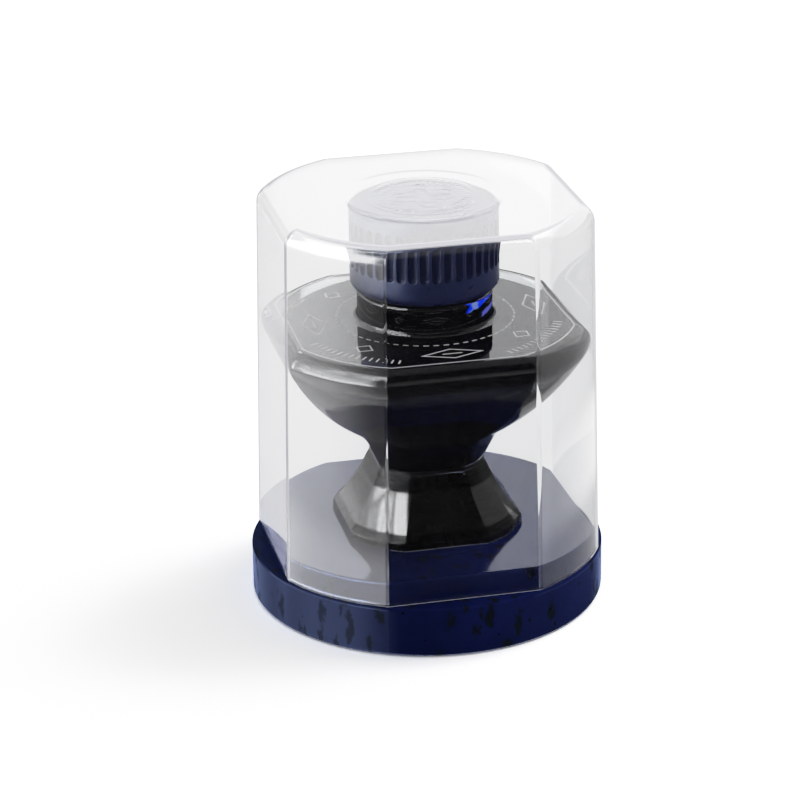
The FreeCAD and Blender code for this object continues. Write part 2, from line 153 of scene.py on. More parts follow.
class BottleSettings(bpy.types.PropertyGroup):
    """Sizes of the glass bottle."""

    foot_radius: length("Foot Radius", "Foot", 21.6)
    foot_edge: length("Foot Edge", "Height of the foot's upright edge", 1.6)
    foot_round: length("Foot Round", "Reach of the round above the foot's edge", 0.5)
    flare_hollow: length("Flare Hollow", "How far the flare curves in from straight", 0.9)
    waist_radius: length("Waist Radius", "Narrowest part of the stem", 13.0)
    waist_round: length("Waist Round", "How far the waist's round stands back at its ends", 0.5)
    waist_height: length("Waist Height", "Plinth to the waist", 15.0)
    stem_radius: length("Stem Radius", "Stem where it meets the bowl", 16.9)
    stem_height: length("Stem Height", "Plinth to the root of the bowl", 22.8)
    root_round: length("Root Round", "Reach of the round between stem and bowl", 2.2)
    bowl_radius: length("Bowl Radius", "Widest part of the bowl", 36.3)
    bowl_height: length("Bowl Height", "Plinth to the widest part of the bowl", 44.1)
    bowl_turn: length("Bowl Turn", "Radius of the turn under the rim", 6.0)
    bowl_turn_angle: angle("Bowl Turn Angle", "Angle of the turn under the rim", 30)
    bowl_belly: length("Bowl Belly", "How far the bowl's side curves out from straight", 1.8)
    rim_round: length("Rim Round", "Rounded rim of the bowl", 3.2)
    crease: length("Crease", "Rounding of the flats' edges on the bowl", 2.2)
    collar_radius: length("Collar Radius", "Plain collar below the cap", 14.7)
    collar_height: length("Collar Height", "Bowl's top face to the collar's upper edge", 6.6)
    collar_fillet: length("Collar Fillet", "Collar to the bowl's top face", 1.3)
    neck_radius: length("Neck Radius", "Neck inside the cap, at the thread's root", 13.2)
    neck_height: length("Neck Height", "Collar to the sealing lip", 15.2)
    thread_depth: length("Thread Depth", "Ridge of the thread above its root", 0.6)
    thread_pitch: length("Thread Pitch", "Rise of the thread in one turn", 3.6)
    thread_start: length("Thread Start", "Collar to the start of the thread", 2.4)
    thread_width: length("Thread Width", "Half the width of the thread's ridge", 0.6)
    thread_laps: count("Thread Laps", "Turns of the thread", 2)
    thread_fade: number("Thread Fade", "Share of a turn over which the thread's ends rise", 0.125)
    lip_round: length("Lip Round", "Rounded edges of collar, lip and mouth", 0.6)
    mouth_radius: length("Mouth Radius", "Bore of the neck", 9.6)
    wall: length("Wall", "Glass at the flats and under the top face", 2.2)
    well_radius: length("Well Radius", "Ink well inside the stem", 7.31)
    well_floor: length("Well Floor", "Plinth to the bottom of the well", 13.9)
    well_round: length("Well Round", "Rounded edge of the well's bottom", 1.0)
    ink_level: length("Ink Level", "Ink above the bowl's top face", 6.4)
    ink_overlap: length("Ink Overlap", "How far the ink reaches into the glass around it", 0.06)


class InkSettings(bpy.types.PropertyGroup):
    """Colours of the ink, and the places of the thin blue film below the cap, whose bright blue
    is painted light.
    """

    dark: colour("Dark", "Darkest colour of the ink", (0.0010, 0.0011, 0.0022))
    light: colour("Light", "Lightest colour of the ink", (0.0016, 0.0018, 0.0040))
    # Painted light: film, pale_film and drop are brighter than white in blue, painted where light
    # from behind shines through thin ink.
    film: colour("Film", "Colour of the lit film", (0.0, 0.12, 3.4))
    pale_film: colour("Pale Film", "Colour of the film's palest parts", (0.6, 0.85, 2.0))
    drop: colour("Drop", "Colour of the second lit part", (0.24, 0.26, 1.2))
    ragged: length("Ragged", "How far the film's edges stray", 0.9)
    film_low: length("Film Low", "Height of the film's lower edge in front", 66.3)
    film_rise: length("Film Rise", "Rise of the lower edge per radian to the right", 0.9)
    film_start: angle("Film Start", "Left edge of the film, from the front", 37)
    film_corner: length("Film Corner", "Height at which the left edge is there", 67.4)
    film_lean: angle("Film Lean", "How far the left edge shifts per millimetre of height", 4)
    film_end: angle("Film End", "Right edge of the film, from the front", 115)
    drop_low: length("Drop Low", "Lower edge of the second lit part", 64.75)
    drop_high: length("Drop High", "Upper edge of the second lit part", 65.95)
    drop_start: angle("Drop Start", "Left edge of the second lit part, from the front", 63)


class PrintSettings(bpy.types.PropertyGroup):
    """Sizes of the plain printed ornament."""

    width: length("Line Width", "Width of a printed line", 0.36)
    film: length("Film", "Thickness of the printed lines", 0.02)
    border: length("Border", "Radius of the border line", 32.9)
    dash_ring: length("Dash Ring", "Radius of the ring of dashes", 19.4)
    dashes: count("Dashes", "Dashes in their ring", 56)
    bar_ring: length("Bar Ring", "Radius of the rows of bars", 29.2)
    bars: count("Bars", "Bars in a whole ring", 120)
    bar_rows: number("Bar Rows", "Reach of the rows of bars: 1 for whole rings, -1 for none", 0.1)
    lozenge_ring: length("Lozenge Ring", "Radius of the ring of long lozenges", 24.6)
    small_ring: length("Small Ring", "Radius of the ring of small lozenges", 24.2)
    dash: length("Dash", "Half the length of a dash", 0.6)
    bar: length("Bar", "Half the length of a bar", 0.95)
    lozenge_length: length("Lozenge Length", "Middle to tip of a long lozenge", 6.4)
    lozenge_width: length("Lozenge Width", "Middle to side of a long lozenge", 2.6)
    small_lozenge: length("Small Lozenge", "Middle to tip of a small lozenge", 2.0)


class CapSettings(bpy.types.PropertyGroup):
    """Sizes and colour of the screw cap."""

    radius: length("Radius", "Cap over its ribs", 16.2)
    bottom: length("Bottom", "Height of the lower rim", 71.1)
    top: length("Top", "Height of the top face", 88.8)
    bore: length("Bore", "Inside radius", 14.05)
    ceiling: length("Ceiling", "Height of the inside of the top", 86.9)
    lower_round: length("Lower Round", "Rounded lower edge", 2.0)
    upper_round: length("Upper Round", "Rounded upper edge", 1.0)
    flutes: count("Flutes", "Flutes around the cap", 40)
    flute_radius: length("Flute Radius", "Rounded bottom of a flute", 1.25)
    flute_depth: length("Flute Depth", "Depth of a flute", 0.5)
    flute_start: length("Flute Start", "Lower rim to the flutes", 5.2)
    flute_end: length("Flute End", "Top to the flutes", 2.4)
    navy: colour("Navy", "Colour of the cap", (0.0105, 0.015, 0.064))
    shine: colour("Shine", "Tint of what the cap mirrors", (0.72, 0.82, 1.0))


class StudioSettings(bpy.types.PropertyGroup):
    """Camera, floor and light."""

    azimuth: angle("Azimuth", "Camera's place around the object", -12.84)
    elevation: angle("Elevation", "Camera's height above the horizon", 21.998)
    roll: angle("Roll", "Camera's turn about its line of sight", -0.754)
    distance: length("Distance", "Camera to its target", 661.55)
    lens: number("Lens", "Focal length of the camera, in millimetres", 135.0)
    aside: length("Target Aside", "Target to the right of the object's axis, as seen", -5.61)
    height: length("Target Height", "Target above the table", 43.77)
    floor_radius: length("Floor Radius", "Round floor under the object", 3000.0)
    lamp_size: length("Lamp Size", "Side of the square lamp", 500.0)
    lamp_power: number("Lamp Power", "Power of the lamp, in watts", 6.5)
    lamp_azimuth: angle("Lamp Azimuth", "Lamp's place around the object", 102)
    lamp_elevation: angle("Lamp Elevation", "Lamp's height above the horizon", 50)
    lamp_distance: length("Lamp Distance", "Lamp to its target", 900.0)
    lamp_target: length("Lamp Target", "Target of the lamp above the table", 40.0)


# ---------------------------------------------------------------- outlines and meshes


def shared_plan(half_angle, crease):
    """Outline of unit size: a circle cut by four flats, the edges of the flats rounded to
    the radius crease. Rows of x and y, counterclockwise from the middle of the front flat."""
    flat = math.cos(half_angle)
    across = math.sqrt((1 - crease) ** 2 - (flat - crease) ** 2)
    meet = math.atan2(across, flat - crease)
    half = [(flat, across * step / FLAT_STEPS) for step in range(FLAT_STEPS)]
    for step in range(CREASE_STEPS):
        turn = meet * step / CREASE_STEPS
        half.append((flat - crease + crease * math.cos(turn), across + crease * math.sin(turn)))
    for step in range(ROUND_STEPS + 1):
        turn = meet + (math.pi / FLATS - meet) * step / ROUND_STEPS
        half.append((math.cos(turn), math.sin(turn)))
    mirrored = [(x, -y) for x, y in reversed(half[1:-1])]
    points = []
    for side in range(FLATS):
        turn = -math.pi / 2 + side * FULL / FLATS
        cosine, sine = math.cos(turn), math.sin(turn)
        for x, y in mirrored + half:
            points.append((x * cosine - y * sine, x * sine + y * cosine))
    return np.array(points)


def round_plan(plan):
    """The unit circle with the points of a plan at the same angles."""
    return plan / np.linalg.norm(plan, axis=1)[:, None]


def even_plan(count):
    """The unit circle in equal steps."""
    turn = np.arange(count) * FULL / count
    return np.stack([np.cos(turn), np.sin(turn)], axis=1)


class Outline:
    """Half of a piece's section, from the axis out and back, every point on a plan."""

    def __init__(self, plan):
        self.plan = plan
        self.points = []

    def to(self, radius, height, plan=None, steps=1):
        """A straight run to a point, in equal steps."""
        if plan is not None:
            self.plan = plan
        if steps > 1:
            start = self.points[-1]
            for step in range(1, steps):
                share = step / steps
                self.points.append((start[0] + (radius - start[0]) * share,
                                    start[1] + (height - start[1]) * share, self.plan))
        self.points.append((radius, height, self.plan))

    def arc(self, through, end, steps=ARC_STEPS):
        """An arc from the last point through a second one to a third."""
        start = self.points[-1][:2]
        centre = circle_centre(start, through, end)
        reach = math.dist(start, centre)
        turns = [math.atan2(p[1] - centre[1], p[0] - centre[0]) for p in (start, through, end)]
        span = (turns[2] - turns[0]) % FULL
        if (turns[1] - turns[0]) % FULL > span:
            span -= FULL
        for step in range(1, steps):
            turn = turns[0] + span * step / steps
            self.points.append((centre[0] + reach * math.cos(turn),
                                centre[1] + reach * math.sin(turn), self.plan))
        self.points.append((end[0], end[1], self.plan))

    def corner(self, apex, end, steps=ARC_STEPS // 2):
        """A quarter round from the last point to the end, inside the square corner apex."""
        start = self.points[-1][:2]
        for step in range(1, steps + 1):
            turn = math.pi / 2 * step / steps
            ahead, aside = 1 - math.cos(turn), math.sin(turn)
            self.points.append((
                start[0] + (apex[0] - start[0]) * aside + (end[0] - apex[0]) * ahead,
                start[1] + (apex[1] - start[1]) * aside + (end[1] - apex[1]) * ahead,
                self.plan))


def circle_centre(a, b, c):
    """Centre of the circle through three points."""
    double = 2 * (a[0] * (b[1] - c[1]) + b[0] * (c[1] - a[1]) + c[0] * (a[1] - b[1]))
    squares = [p[0] ** 2 + p[1] ** 2 for p in (a, b, c)]
    return (
        (squares[0] * (b[1] - c[1]) + squares[1] * (c[1] - a[1]) + squares[2] * (a[1] - b[1]))
        / double,
        (squares[0] * (c[0] - b[0]) + squares[1] * (a[0] - c[0]) + squares[2] * (b[0] - a[0]))
        / double,
    )


def nearness(distance, half):
    """1 near a ridge's middle, 0 away from it, and half way between at its half width."""
    return np.clip(1.5 - np.abs(distance) / half, 0, 1)


def eased(share):
    """A share from 0 to 1 that starts and ends softly."""
    return share * share * (3 - 2 * share)


def unit(vectors):
    """Vectors of length 1, or 0 where there is no direction."""
    length = np.linalg.norm(vectors, axis=-1, keepdims=True)
    return vectors / np.where(length > 0, length, 1)


def joined(before, after):
    """Tangent where two runs of an outline meet, ruled by the longer one, for each of the
    two: the same on a smooth corner, and each run's own on a sharp one."""
    lengths = [np.linalg.norm(run, axis=-1, keepdims=True) for run in (before, after)]
    shared = before * lengths[0] + after * lengths[1]
    turn = np.sum(unit(before) * unit(after), axis=-1, keepdims=True)
    sharp = turn < math.cos(SHARP)
    return np.where(sharp, before, shared), np.where(sharp, after, shared)


def plain_mesh(name, points, faces):
    """A mesh from its points and faces."""
    mesh = bpy.data.meshes.new(name)
    mesh.from_pydata(points, [], faces)
    return mesh


def linked(name, data):
    """An object in the scene."""
    thing = bpy.data.objects.new(name, data)
    bpy.context.scene.collection.objects.link(thing)
    return thing


def turned(name, outline, relief=None):
    """A closed mesh from an outline that starts and ends on the axis. relief may shift the
    grid of points. Every corner of every face gets its own exact normal."""
    radius = np.array([p[0] for p in outline.points])
    height = np.array([p[1] for p in outline.points])
    plans = np.stack([p[2] for p in outline.points])
    grid = np.empty(plans.shape[:2] + (3,))
    grid[..., :2] = radius[:, None, None] * plans
    grid[..., 2] = height[:, None]
    if relief:
        relief(grid)
    rows, count = grid.shape[:2]
    runs = grid[1:] - grid[:-1]
    starts, ends = runs.copy(), runs.copy()
    ends[:-1], starts[1:] = joined(runs[:-1], runs[1:])
    around = np.roll(grid, -1, axis=1) - grid
    around = around * np.linalg.norm(around, axis=-1, keepdims=True)
    around = around + np.roll(around, 1, axis=1)
    lower = unit(np.cross(around[:-1], starts))
    upper = unit(np.cross(around[1:], ends))
    lower[0] = unit(upper[0].mean(axis=0))
    upper[-1] = unit(lower[-1].mean(axis=0))

    points = [tuple(grid[0, 0])] + [tuple(p) for p in grid[1:-1].reshape(-1, 3)]
    points.append(tuple(grid[-1, 0]))
    last = len(points) - 1
    faces, normals = [], []
    for row in range(rows - 1):
        for step in range(count):
            after = (step + 1) % count
            low, low_after = (row - 1) * count + 1 + step, (row - 1) * count + 1 + after
            high, high_after = row * count + 1 + step, row * count + 1 + after
            if row == 0:
                faces.append((0, high_after, high))
                normals += [lower[row, step], upper[row, after], upper[row, step]]
            elif row == rows - 2:
                faces.append((low, low_after, last))
                normals += [lower[row, step], lower[row, after], upper[row, step]]
            else:
                faces.append((low, low_after, high_after, high))
                normals += [lower[row, step], lower[row, after], upper[row, after],
                            upper[row, step]]
    mesh = plain_mesh(name, points, faces)
    mesh.shade_smooth()
    mesh.normals_split_custom_set(normals)
    return mesh


def place(name, mesh, body, slot, materials, *nodes):
    """Puts a finished mesh into the scene as a piece of the object."""
    piece = linked(name, mesh)
    mesh.materials.clear()
    for material in materials:
        mesh.materials.append(material)
    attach(piece, body)
    if nodes:
        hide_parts(*nodes)
    return piece


# ---------------------------------------------------------------- nodes


class Value:
    """An output of a node, for sums like those with numbers."""

    def __init__(self, nodes, socket):
        self.nodes, self.socket = nodes, socket

    def __add__(self, other):
        return self.nodes.math("ADD", self, other)

    def __sub__(self, other):
        return self.nodes.math("SUBTRACT", self, other)

    def __rsub__(self, other):
        return self.nodes.math("SUBTRACT", other, self)

    def __mul__(self, other):
        return self.nodes.math("MULTIPLY", self, other)

    def __truediv__(self, other):
        return self.nodes.math("DIVIDE", self, other)

    def __rtruediv__(self, other):
        return self.nodes.math("DIVIDE", other, self)

    def __neg__(self):
        return self * -1.0

    def __lt__(self, other):
        return self.nodes.math("LESS_THAN", self, other)

    def __gt__(self, other):
        return self.nodes.math("GREATER_THAN", self, other)


class Nodes:
    """A node tree with short calls to add and join its nodes."""

    def __init__(self, tree):
        self.tree = tree

    def node(self, kind, settings=None, **inputs):
        """A node. Its inputs are set or joined to values, by name or by i and place."""
        node = self.tree.nodes.new(kind)
        for name, value in (settings or {}).items():
            setattr(node, name, value)
        for name, value in inputs.items():
            place = name[0] == "i" and name[1:].isdigit()
            socket = node.inputs[int(name[1:]) if place else name.replace("_", " ")]
            if isinstance(value, Value):
                self.tree.links.new(value.socket, socket)
            elif socket.type == "RGBA":
                socket.default_value = (*value, 1.0)
            else:
                socket.default_value = value
        return node

    def every(self, kind, **inputs):
        """All outputs of a new node, by name."""
        return {out.name: Value(self, out) for out in self.node(kind, **inputs).outputs}

    def add(self, kind, settings=None, output=0, **inputs):
        """One output of a new node."""
        return Value(self, self.node(kind, settings, **inputs).outputs[output])

    def math(self, operation, *values):
        """One step of arithmetic."""
        return self.add("ShaderNodeMath", {"operation": operation},
                        **{f"i{place}": value for place, value in enumerate(values)})

    def larger(self, first, second):
        """The larger of two values."""
        return self.math("MAXIMUM", first, second)

    def xyz(self, vector):
        """The three parts of a vector."""
        return list(self.every("ShaderNodeSeparateXYZ", i0=vector).values())

    def reach(self, x, y):
        """Distance from the axis."""
        return self.math("SQRT", x * x + y * y)

    def noise(self, coordinates, scale, detail=2.0, roughness=0.5):
        """Noise between 0 and 1."""
        return self.add("ShaderNodeTexNoise", output="Fac", Vector=coordinates, Scale=scale,
                        Detail=detail, Roughness=roughness)

    def steps(self, value, low, high, to_low=0.0, to_high=1.0):
        """A smooth step between two limits."""
        return self.add("ShaderNodeMapRange", {"interpolation_type": "SMOOTHSTEP"}, i0=value,
                        i1=low, i2=high, i3=to_low, i4=to_high)

    def band(self, value, low, high, soft):
        """1 between two limits and 0 outside them, with edges that fade on both sides."""
        return (self.steps(value, low - soft, low + soft)
                * self.steps(value, high + soft, high - soft))

    def between(self, share, first, second):
        """A number between two numbers."""
        return self.add("ShaderNodeMix", {"data_type": "FLOAT"}, i0=share, i2=first, i3=second)

    def blend(self, share, first, second):
        """A colour between two colours."""
        return self.add("ShaderNodeMix", {"data_type": "RGBA"}, output=2, i0=share, i6=first,
                        i7=second)

    def mixed(self, share, first, second):
        """A shader between two shaders."""
        return self.add("ShaderNodeMixShader", i0=share, i1=first, i2=second)

    def diffuse(self, color):
        """A dull surface."""
        return self.add("ShaderNodeBsdfDiffuse", Color=color)

    def clear(self, color=(1, 1, 1)):
        """A surface that light passes without bending."""
        return self.add("ShaderNodeBsdfTransparent", Color=color)

    def ray(self, output):
        """The kind of the ray, or how often it was mirrored or let through before."""
        return self.add("ShaderNodeLightPath", output=output)

    def stretched(self, coordinates, scale, location=(0, 0, 0)):
        """Coordinates scaled for a pattern."""
        return self.add("ShaderNodeMapping", Vector=coordinates, Scale=scale, Location=location)

    def bump(self, height, strength, distance):
        """A normal from a height."""
        return self.add("ShaderNodeBump", Height=height, Strength=strength, Distance=distance)


def times(share, color):
    """A colour made darker or lighter."""
    return tuple(share * part for part in color)


# ---------------------------------------------------------------- materials


# Rays with more crossings than this have passed the cover and the glass of the bottle.
CROSSED = 2.5
WHOLLY_MIRRORED = 0.98  # share of the light that a wall sends back inside

# Bands of the bottle, from the plinth up, in millimetres, and how much more or less than plain
# glass they mirror: the foot's rim, the flare, the waist and the bowl's turn. The extra gloss on
# the flare and the bowl's turn is painted highlight, the lowered gloss at the waist is painted
# shade under the bowl, and the foot's rim mirrors less.
GLASS_PAINTED_GLOSS = [(-5.0, 3.3, -0.8), (3.3, 10.9, 0.05), (10.9, 16.3, -0.85), (39.5, 44.8, 0.04)]


def new_material(name):
    """An empty material, its nodes and the object's own coordinates."""
    material = bpy.data.materials.new(name)
    material.use_nodes = True
    material.node_tree.nodes.clear()
    nodes = Nodes(material.node_tree)
    return material, nodes, nodes.add("ShaderNodeTexCoord", output="Object")


def finished(material, nodes, shader):
    """The material with its shader."""
    nodes.node("ShaderNodeOutputMaterial", i0=shader)
    return material


def fleck_plastic(base, foot):
    """Polished navy plastic with dark upright blotches and small specks. Where it is seen through
    the bottle that stands on it, the bottle's shade is painted on it: a dark colour, and no
    gloss."""
    material, nodes, here = new_material("flecked_navy_plastic")
    x, y, z = nodes.xyz(here)
    cells = nodes.every("ShaderNodeTexVoronoi", Scale=340.0,
                        Vector=nodes.stretched(here, (1.0, 1.0, 0.42)))
    ragged = nodes.noise(nodes.stretched(here, (1.0, 1.0, 0.5)), 900.0, 3.0, 0.65) - 0.5
    spread = cells["Distance"] + ragged * 1.3
    patches = nodes.noise(nodes.stretched(here, (1, 1, 0.6), (3.1, 1.7, 0.4)), 90.0, 1.0)
    chosen = nodes.add("ShaderNodeSeparateColor", i0=cells["Color"]) > 0.5
    group = chosen * nodes.steps(patches, 0.37, 0.44)
    blotch = nodes.steps(spread, 0.38, 0.28) * group
    halo = nodes.steps(spread, 0.50, 0.34) * group
    dots = nodes.add("ShaderNodeTexVoronoi", output="Distance", Vector=here, Scale=420.0)
    speck = (nodes.steps(dots, 0.22, 0.15)
             * nodes.steps(nodes.noise(here, 180.0, 1.0), 0.54, 0.60))
    cloud = nodes.noise(here, 40.0, 4.0, 0.6)
    color = nodes.blend(nodes.steps(cloud, 0.3, 0.7), times(0.75, base.navy),
                        times(1.25, base.navy))
    color = nodes.blend(halo * 0.5, color, base.halo)
    color = nodes.blend(blotch, color, base.fleck)
    color = nodes.blend(speck, color, base.speck)
    # Painted shade under the bottle's foot, only where the base is seen through the bottle.
    painted_bottle_shade = (nodes.reach(x, y) < foot) * (nodes.ray("Transmission Depth") > CROSSED)
    color = nodes.blend(painted_bottle_shade, color, base.shade)
    smooth = nodes.bump(nodes.noise(here, 900.0, 2.0), 0.03, 0.01 * MM)
    dull = nodes.add("ShaderNodeBsdfPrincipled", Base_Color=color, Roughness=0.5, Normal=smooth,
                     Specular_IOR_Level=0.0)
    top = nodes.steps(z, base.plinth_top - 0.1 * MM, base.plinth_top - 0.01 * MM)
    shine = nodes.add("ShaderNodeBsdfAnisotropic", Normal=smooth,
                      Color=nodes.blend(top, base.shine, base.top_shine),
                      Roughness=nodes.steps(cloud, 0.2, 0.8, 0.06, 0.11))
    ledge = (nodes.steps(z, base.ledge - base.edge, base.ledge - 0.4 * MM)
             * nodes.steps(z, base.ledge + 0.2 * MM, base.ledge + 0.1 * MM))
    dulled = nodes.larger(ledge * 0.92, (z < base.ledge) * blotch * 0.5)
    # The gloss is taken away under the painted shade and on the ledge's rounded edge, and halved
    # on the blotches below the ledge.
    kept = 1.0 - nodes.larger(painted_bottle_shade, dulled)
    share = nodes.add("ShaderNodeFresnel", IOR=1.5) * kept
    return finished(material, nodes, nodes.mixed(share, dull, shine))


def clear_material(name, ior, tint, shade, ripple, body=None, mirrored=None, gloss=()):
    """A clear solid that bends light and lets lamps and soft light reach what is behind it.
    ripple is the scale and the height of its waves. Where light is caught inside its walls, a
    dull surface of the colour body is painted in: painted light. In the gloss of other surfaces
    the solid is a dull surface of the colour mirrored: a painted reflection.
    gloss lists bands between two heights that mirror more, by a share, or less, if the share is
    below 0: painted highlights where they mirror more, and gloss painted darker where they mirror
    less."""
    material, nodes, here = new_material(name)
    wavy = nodes.bump(nodes.noise(here, ripple[0], 1.0), 1.0, ripple[1])
    inside = nodes.add("ShaderNodeNewGeometry", output="Backfacing")
    z = nodes.xyz(here)[2]
    specular, painted_highlights = (1, 1, 1), []
    # Painted highlights and painted shade: band by band, the gloss is raised or lowered.
    for low, high, strength in gloss:
        band = nodes.band(z, low, high, 0.3 * MM)
        if strength < 0:
            specular = nodes.blend(band, specular, times(1 + strength, (1, 1, 1)))
        else:
            painted_highlights.append(band * (1.0 - inside) * strength)
    haze = nodes.noise(here, 130.0, 3.0, 0.6)
    front = nodes.add("ShaderNodeBsdfPrincipled", Base_Color=tint, IOR=ior, Normal=wavy,
                      Roughness=nodes.steps(haze, 0.35, 0.85, 0.0, 0.012),
                      Specular_Tint=specular, Transmission_Weight=1.0)
    for share in painted_highlights:
        front = nodes.mixed(share, front, nodes.add("ShaderNodeBsdfAnisotropic",
                                                    Roughness=0.01, Normal=wavy))
    if body:
        # Painted light: light caught inside the walls, or mirrored more than once, shows as a
        # dull surface of the colour body.
        trapped = inside * (nodes.add("ShaderNodeFresnel", IOR=ior) > WHOLLY_MIRRORED)
        caught = nodes.larger(trapped, nodes.ray("Glossy Depth") > 1.5)
        front = nodes.mixed(caught, front, nodes.diffuse(body))
    if mirrored:
        # Painted reflection: in other surfaces' gloss the solid shows as a dull surface of the
        # colour mirrored.
        in_gloss = (nodes.ray("Glossy Depth") > 0.5) * (1.0 - inside)
        front = nodes.mixed(in_gloss, front, nodes.diffuse(mirrored))
    soft = nodes.larger(nodes.ray("Is Shadow Ray"), nodes.ray("Is Diffuse Ray"))
    return finished(material, nodes, nodes.mixed(soft, front, nodes.clear(shade)))


def ink_material(ink):
    """Near-black blue ink, as seen through glass that touches it. Below the cap on the right,
    where it thins out, bright blue patches brighter than white are painted on it: painted light
    from behind, so that the ink glows there."""
    material, nodes, here = new_material("dark_blue_ink")
    x, y, z = nodes.xyz(here)
    around = nodes.math("ARCTAN2", x, -y)
    level = z + (nodes.noise(here, 700.0, 2.0) - 0.5) * ink.ragged
    start = around - (level - ink.film_corner) * (ink.film_lean / MM)
    # Painted light: the bright blue film and, below it, the second lit patch.
    film = (nodes.steps(level - around * ink.film_rise, ink.film_low, ink.film_low + 0.3 * MM)
            * nodes.steps(start, ink.film_start, ink.film_start + math.radians(4))
            * nodes.steps(around, ink.film_end, ink.film_end - math.radians(15)))
    drop = (nodes.band(level, ink.drop_low, ink.drop_high, 0.15 * MM)
            * nodes.steps(around, ink.drop_start, ink.drop_start + math.radians(7)))
    pale = nodes.steps(nodes.noise(here, 420.0, 1.0), 0.5, 0.62)
    color = nodes.blend(nodes.noise(here, 60.0, 3.0), ink.dark, ink.light)
    color = nodes.blend(film, color, nodes.blend(pale, ink.film, ink.pale_film))
    color = nodes.blend(drop, color, ink.drop)
    shader = nodes.add("ShaderNodeBsdfPrincipled", Base_Color=color, Roughness=0.3, IOR=1.02)
    return finished(material, nodes, shader)


def cap_plastic(cap, collar):
    """Semi-gloss navy moulded plastic with a fine moulded grain. Painted shade makes the flutes
    darker and takes most of their gloss, and the top face has less gloss. Mirrored in the bowl's
    top face, the cap is no wider than the collar below it."""
    material, nodes, here = new_material("navy_cap_plastic")
    x, y, z = nodes.xyz(here)
    reach = nodes.reach(x, y)
    fluted = nodes.band(z, cap.bottom + cap.flute_start + 0.15 * MM,
                        cap.top - cap.flute_end - 0.15 * MM, 0.15 * MM)
    # Painted shade: the flutes' mask, for a darker colour and less gloss.
    flute_shade = fluted * nodes.steps(reach, cap.radius - 0.005 * MM, cap.radius - 0.08 * MM)
    cloud = nodes.noise(here, 120.0, 3.0, 0.6)
    color = nodes.blend(cloud, times(0.8, cap.navy), times(1.2, cap.navy))
    color = nodes.blend(flute_shade, color, times(0.45, cap.navy))
    # Gloss is lowered in the flutes, as painted shade, and on the top face.
    less_gloss = nodes.larger(flute_shade, nodes.steps(z, cap.top - 0.3 * MM, cap.top - 0.02 * MM))
    shader = nodes.add(
        "ShaderNodeBsdfPrincipled", Base_Color=color, IOR=1.5, Specular_Tint=cap.shine,
        Specular_IOR_Level=nodes.add("ShaderNodeMapRange", i0=less_gloss, i3=0.5, i4=0.12),
        Roughness=nodes.steps(cloud, 0.2, 0.8, 0.26, 0.32),
        Normal=nodes.bump(nodes.noise(here, 2600.0, 2.0, 0.7), 0.03, 0.01 * MM))
    beyond = (nodes.ray("Glossy Depth") > 0.5) * (reach > collar)
    return finished(material, nodes, nodes.mixed(beyond, shader, nodes.clear()))


def clouded_material(name, pattern, dark, light, cells=None, **surface):
    """A plain surface, clouded between two colours. pattern is the scale, detail and
    roughness of the clouds; cells the scale, strength and depth of an open grain."""
    material, nodes, here = new_material(name)
    if cells:
        scale, strength, depth = cells
        grain = nodes.add("ShaderNodeTexVoronoi", output="Distance", Vector=here, Scale=scale)
        surface["Normal"] = nodes.bump(grain, strength, depth)
    color = nodes.blend(nodes.noise(here, *pattern), dark, light)
    return finished(material, nodes, nodes.add("ShaderNodeBsdfPrincipled", Base_Color=color,
                                               **surface))


def rim_material():
    """The cover's cut lower rim, frosted by the cut."""
    return clouded_material("frosted_cut_rim", (1200.0, 3.0, 0.7), (0.84, 0.85, 0.88),
                            (1.0, 1.0, 1.0), Roughness=0.4, IOR=1.49)


def print_material():
    """Silvery white screen print."""
    return clouded_material("silver_white_print", (1500.0, 3.0, 0.7), (0.42, 0.42, 0.41),
                            (0.66, 0.66, 0.65), Roughness=0.45)


def rubber_material():
    """Dark foam rubber with a fine open grain."""
    return clouded_material("dark_foam_rubber", (300.0, 3.0), (0.018, 0.018, 0.02),
                            (0.035, 0.035, 0.038), (1600.0, 0.5, 0.15 * MM), Roughness=0.85)


def foam_material():
    """White foamed sealing disc with a fine grain."""
    return clouded_material("white_sealing_foam", (200.0, 3.0), (0.74, 0.74, 0.71),
                            (0.84, 0.84, 0.82), (1900.0, 0.3, 0.05 * MM), Roughness=0.6)


# ---------------------------------------------------------------- pieces


def base_mesh(base, plan):
    """The round base with its plinth and the recess for the pad."""
    flats = shared_plan(plan.half_angle, base.crease / base.plinth_radius)
    circle = round_plan(flats)
    slope = plan.draft * (base.plinth_top - base.plinth_edge - base.ledge)
    side = base.plinth_radius - slope
    edge = base.edge
    outline = Outline(circle)
    outline.to(0, base.pad_depth)
    outline.to(base.pad_radius, base.pad_depth, steps=3)
    outline.to(base.pad_radius, base.seat)
    outline.to(base.radius - edge, base.seat, steps=2)
    outline.corner((base.radius, base.seat), (base.radius, base.seat + edge), 6)
    outline.to(base.radius, base.ledge - edge, steps=4)
    outline.corner((base.radius, base.ledge), (base.radius - edge, base.ledge), 6)
    outline.to(base.plinth_radius, base.ledge, flats)
    outline.to(side, base.plinth_top - base.plinth_edge, steps=3)
    outline.corner((side, base.plinth_top), (side - base.plinth_edge, base.plinth_top), 6)
    outline.to(0, base.plinth_top, steps=5)
    return turned("base", outline)


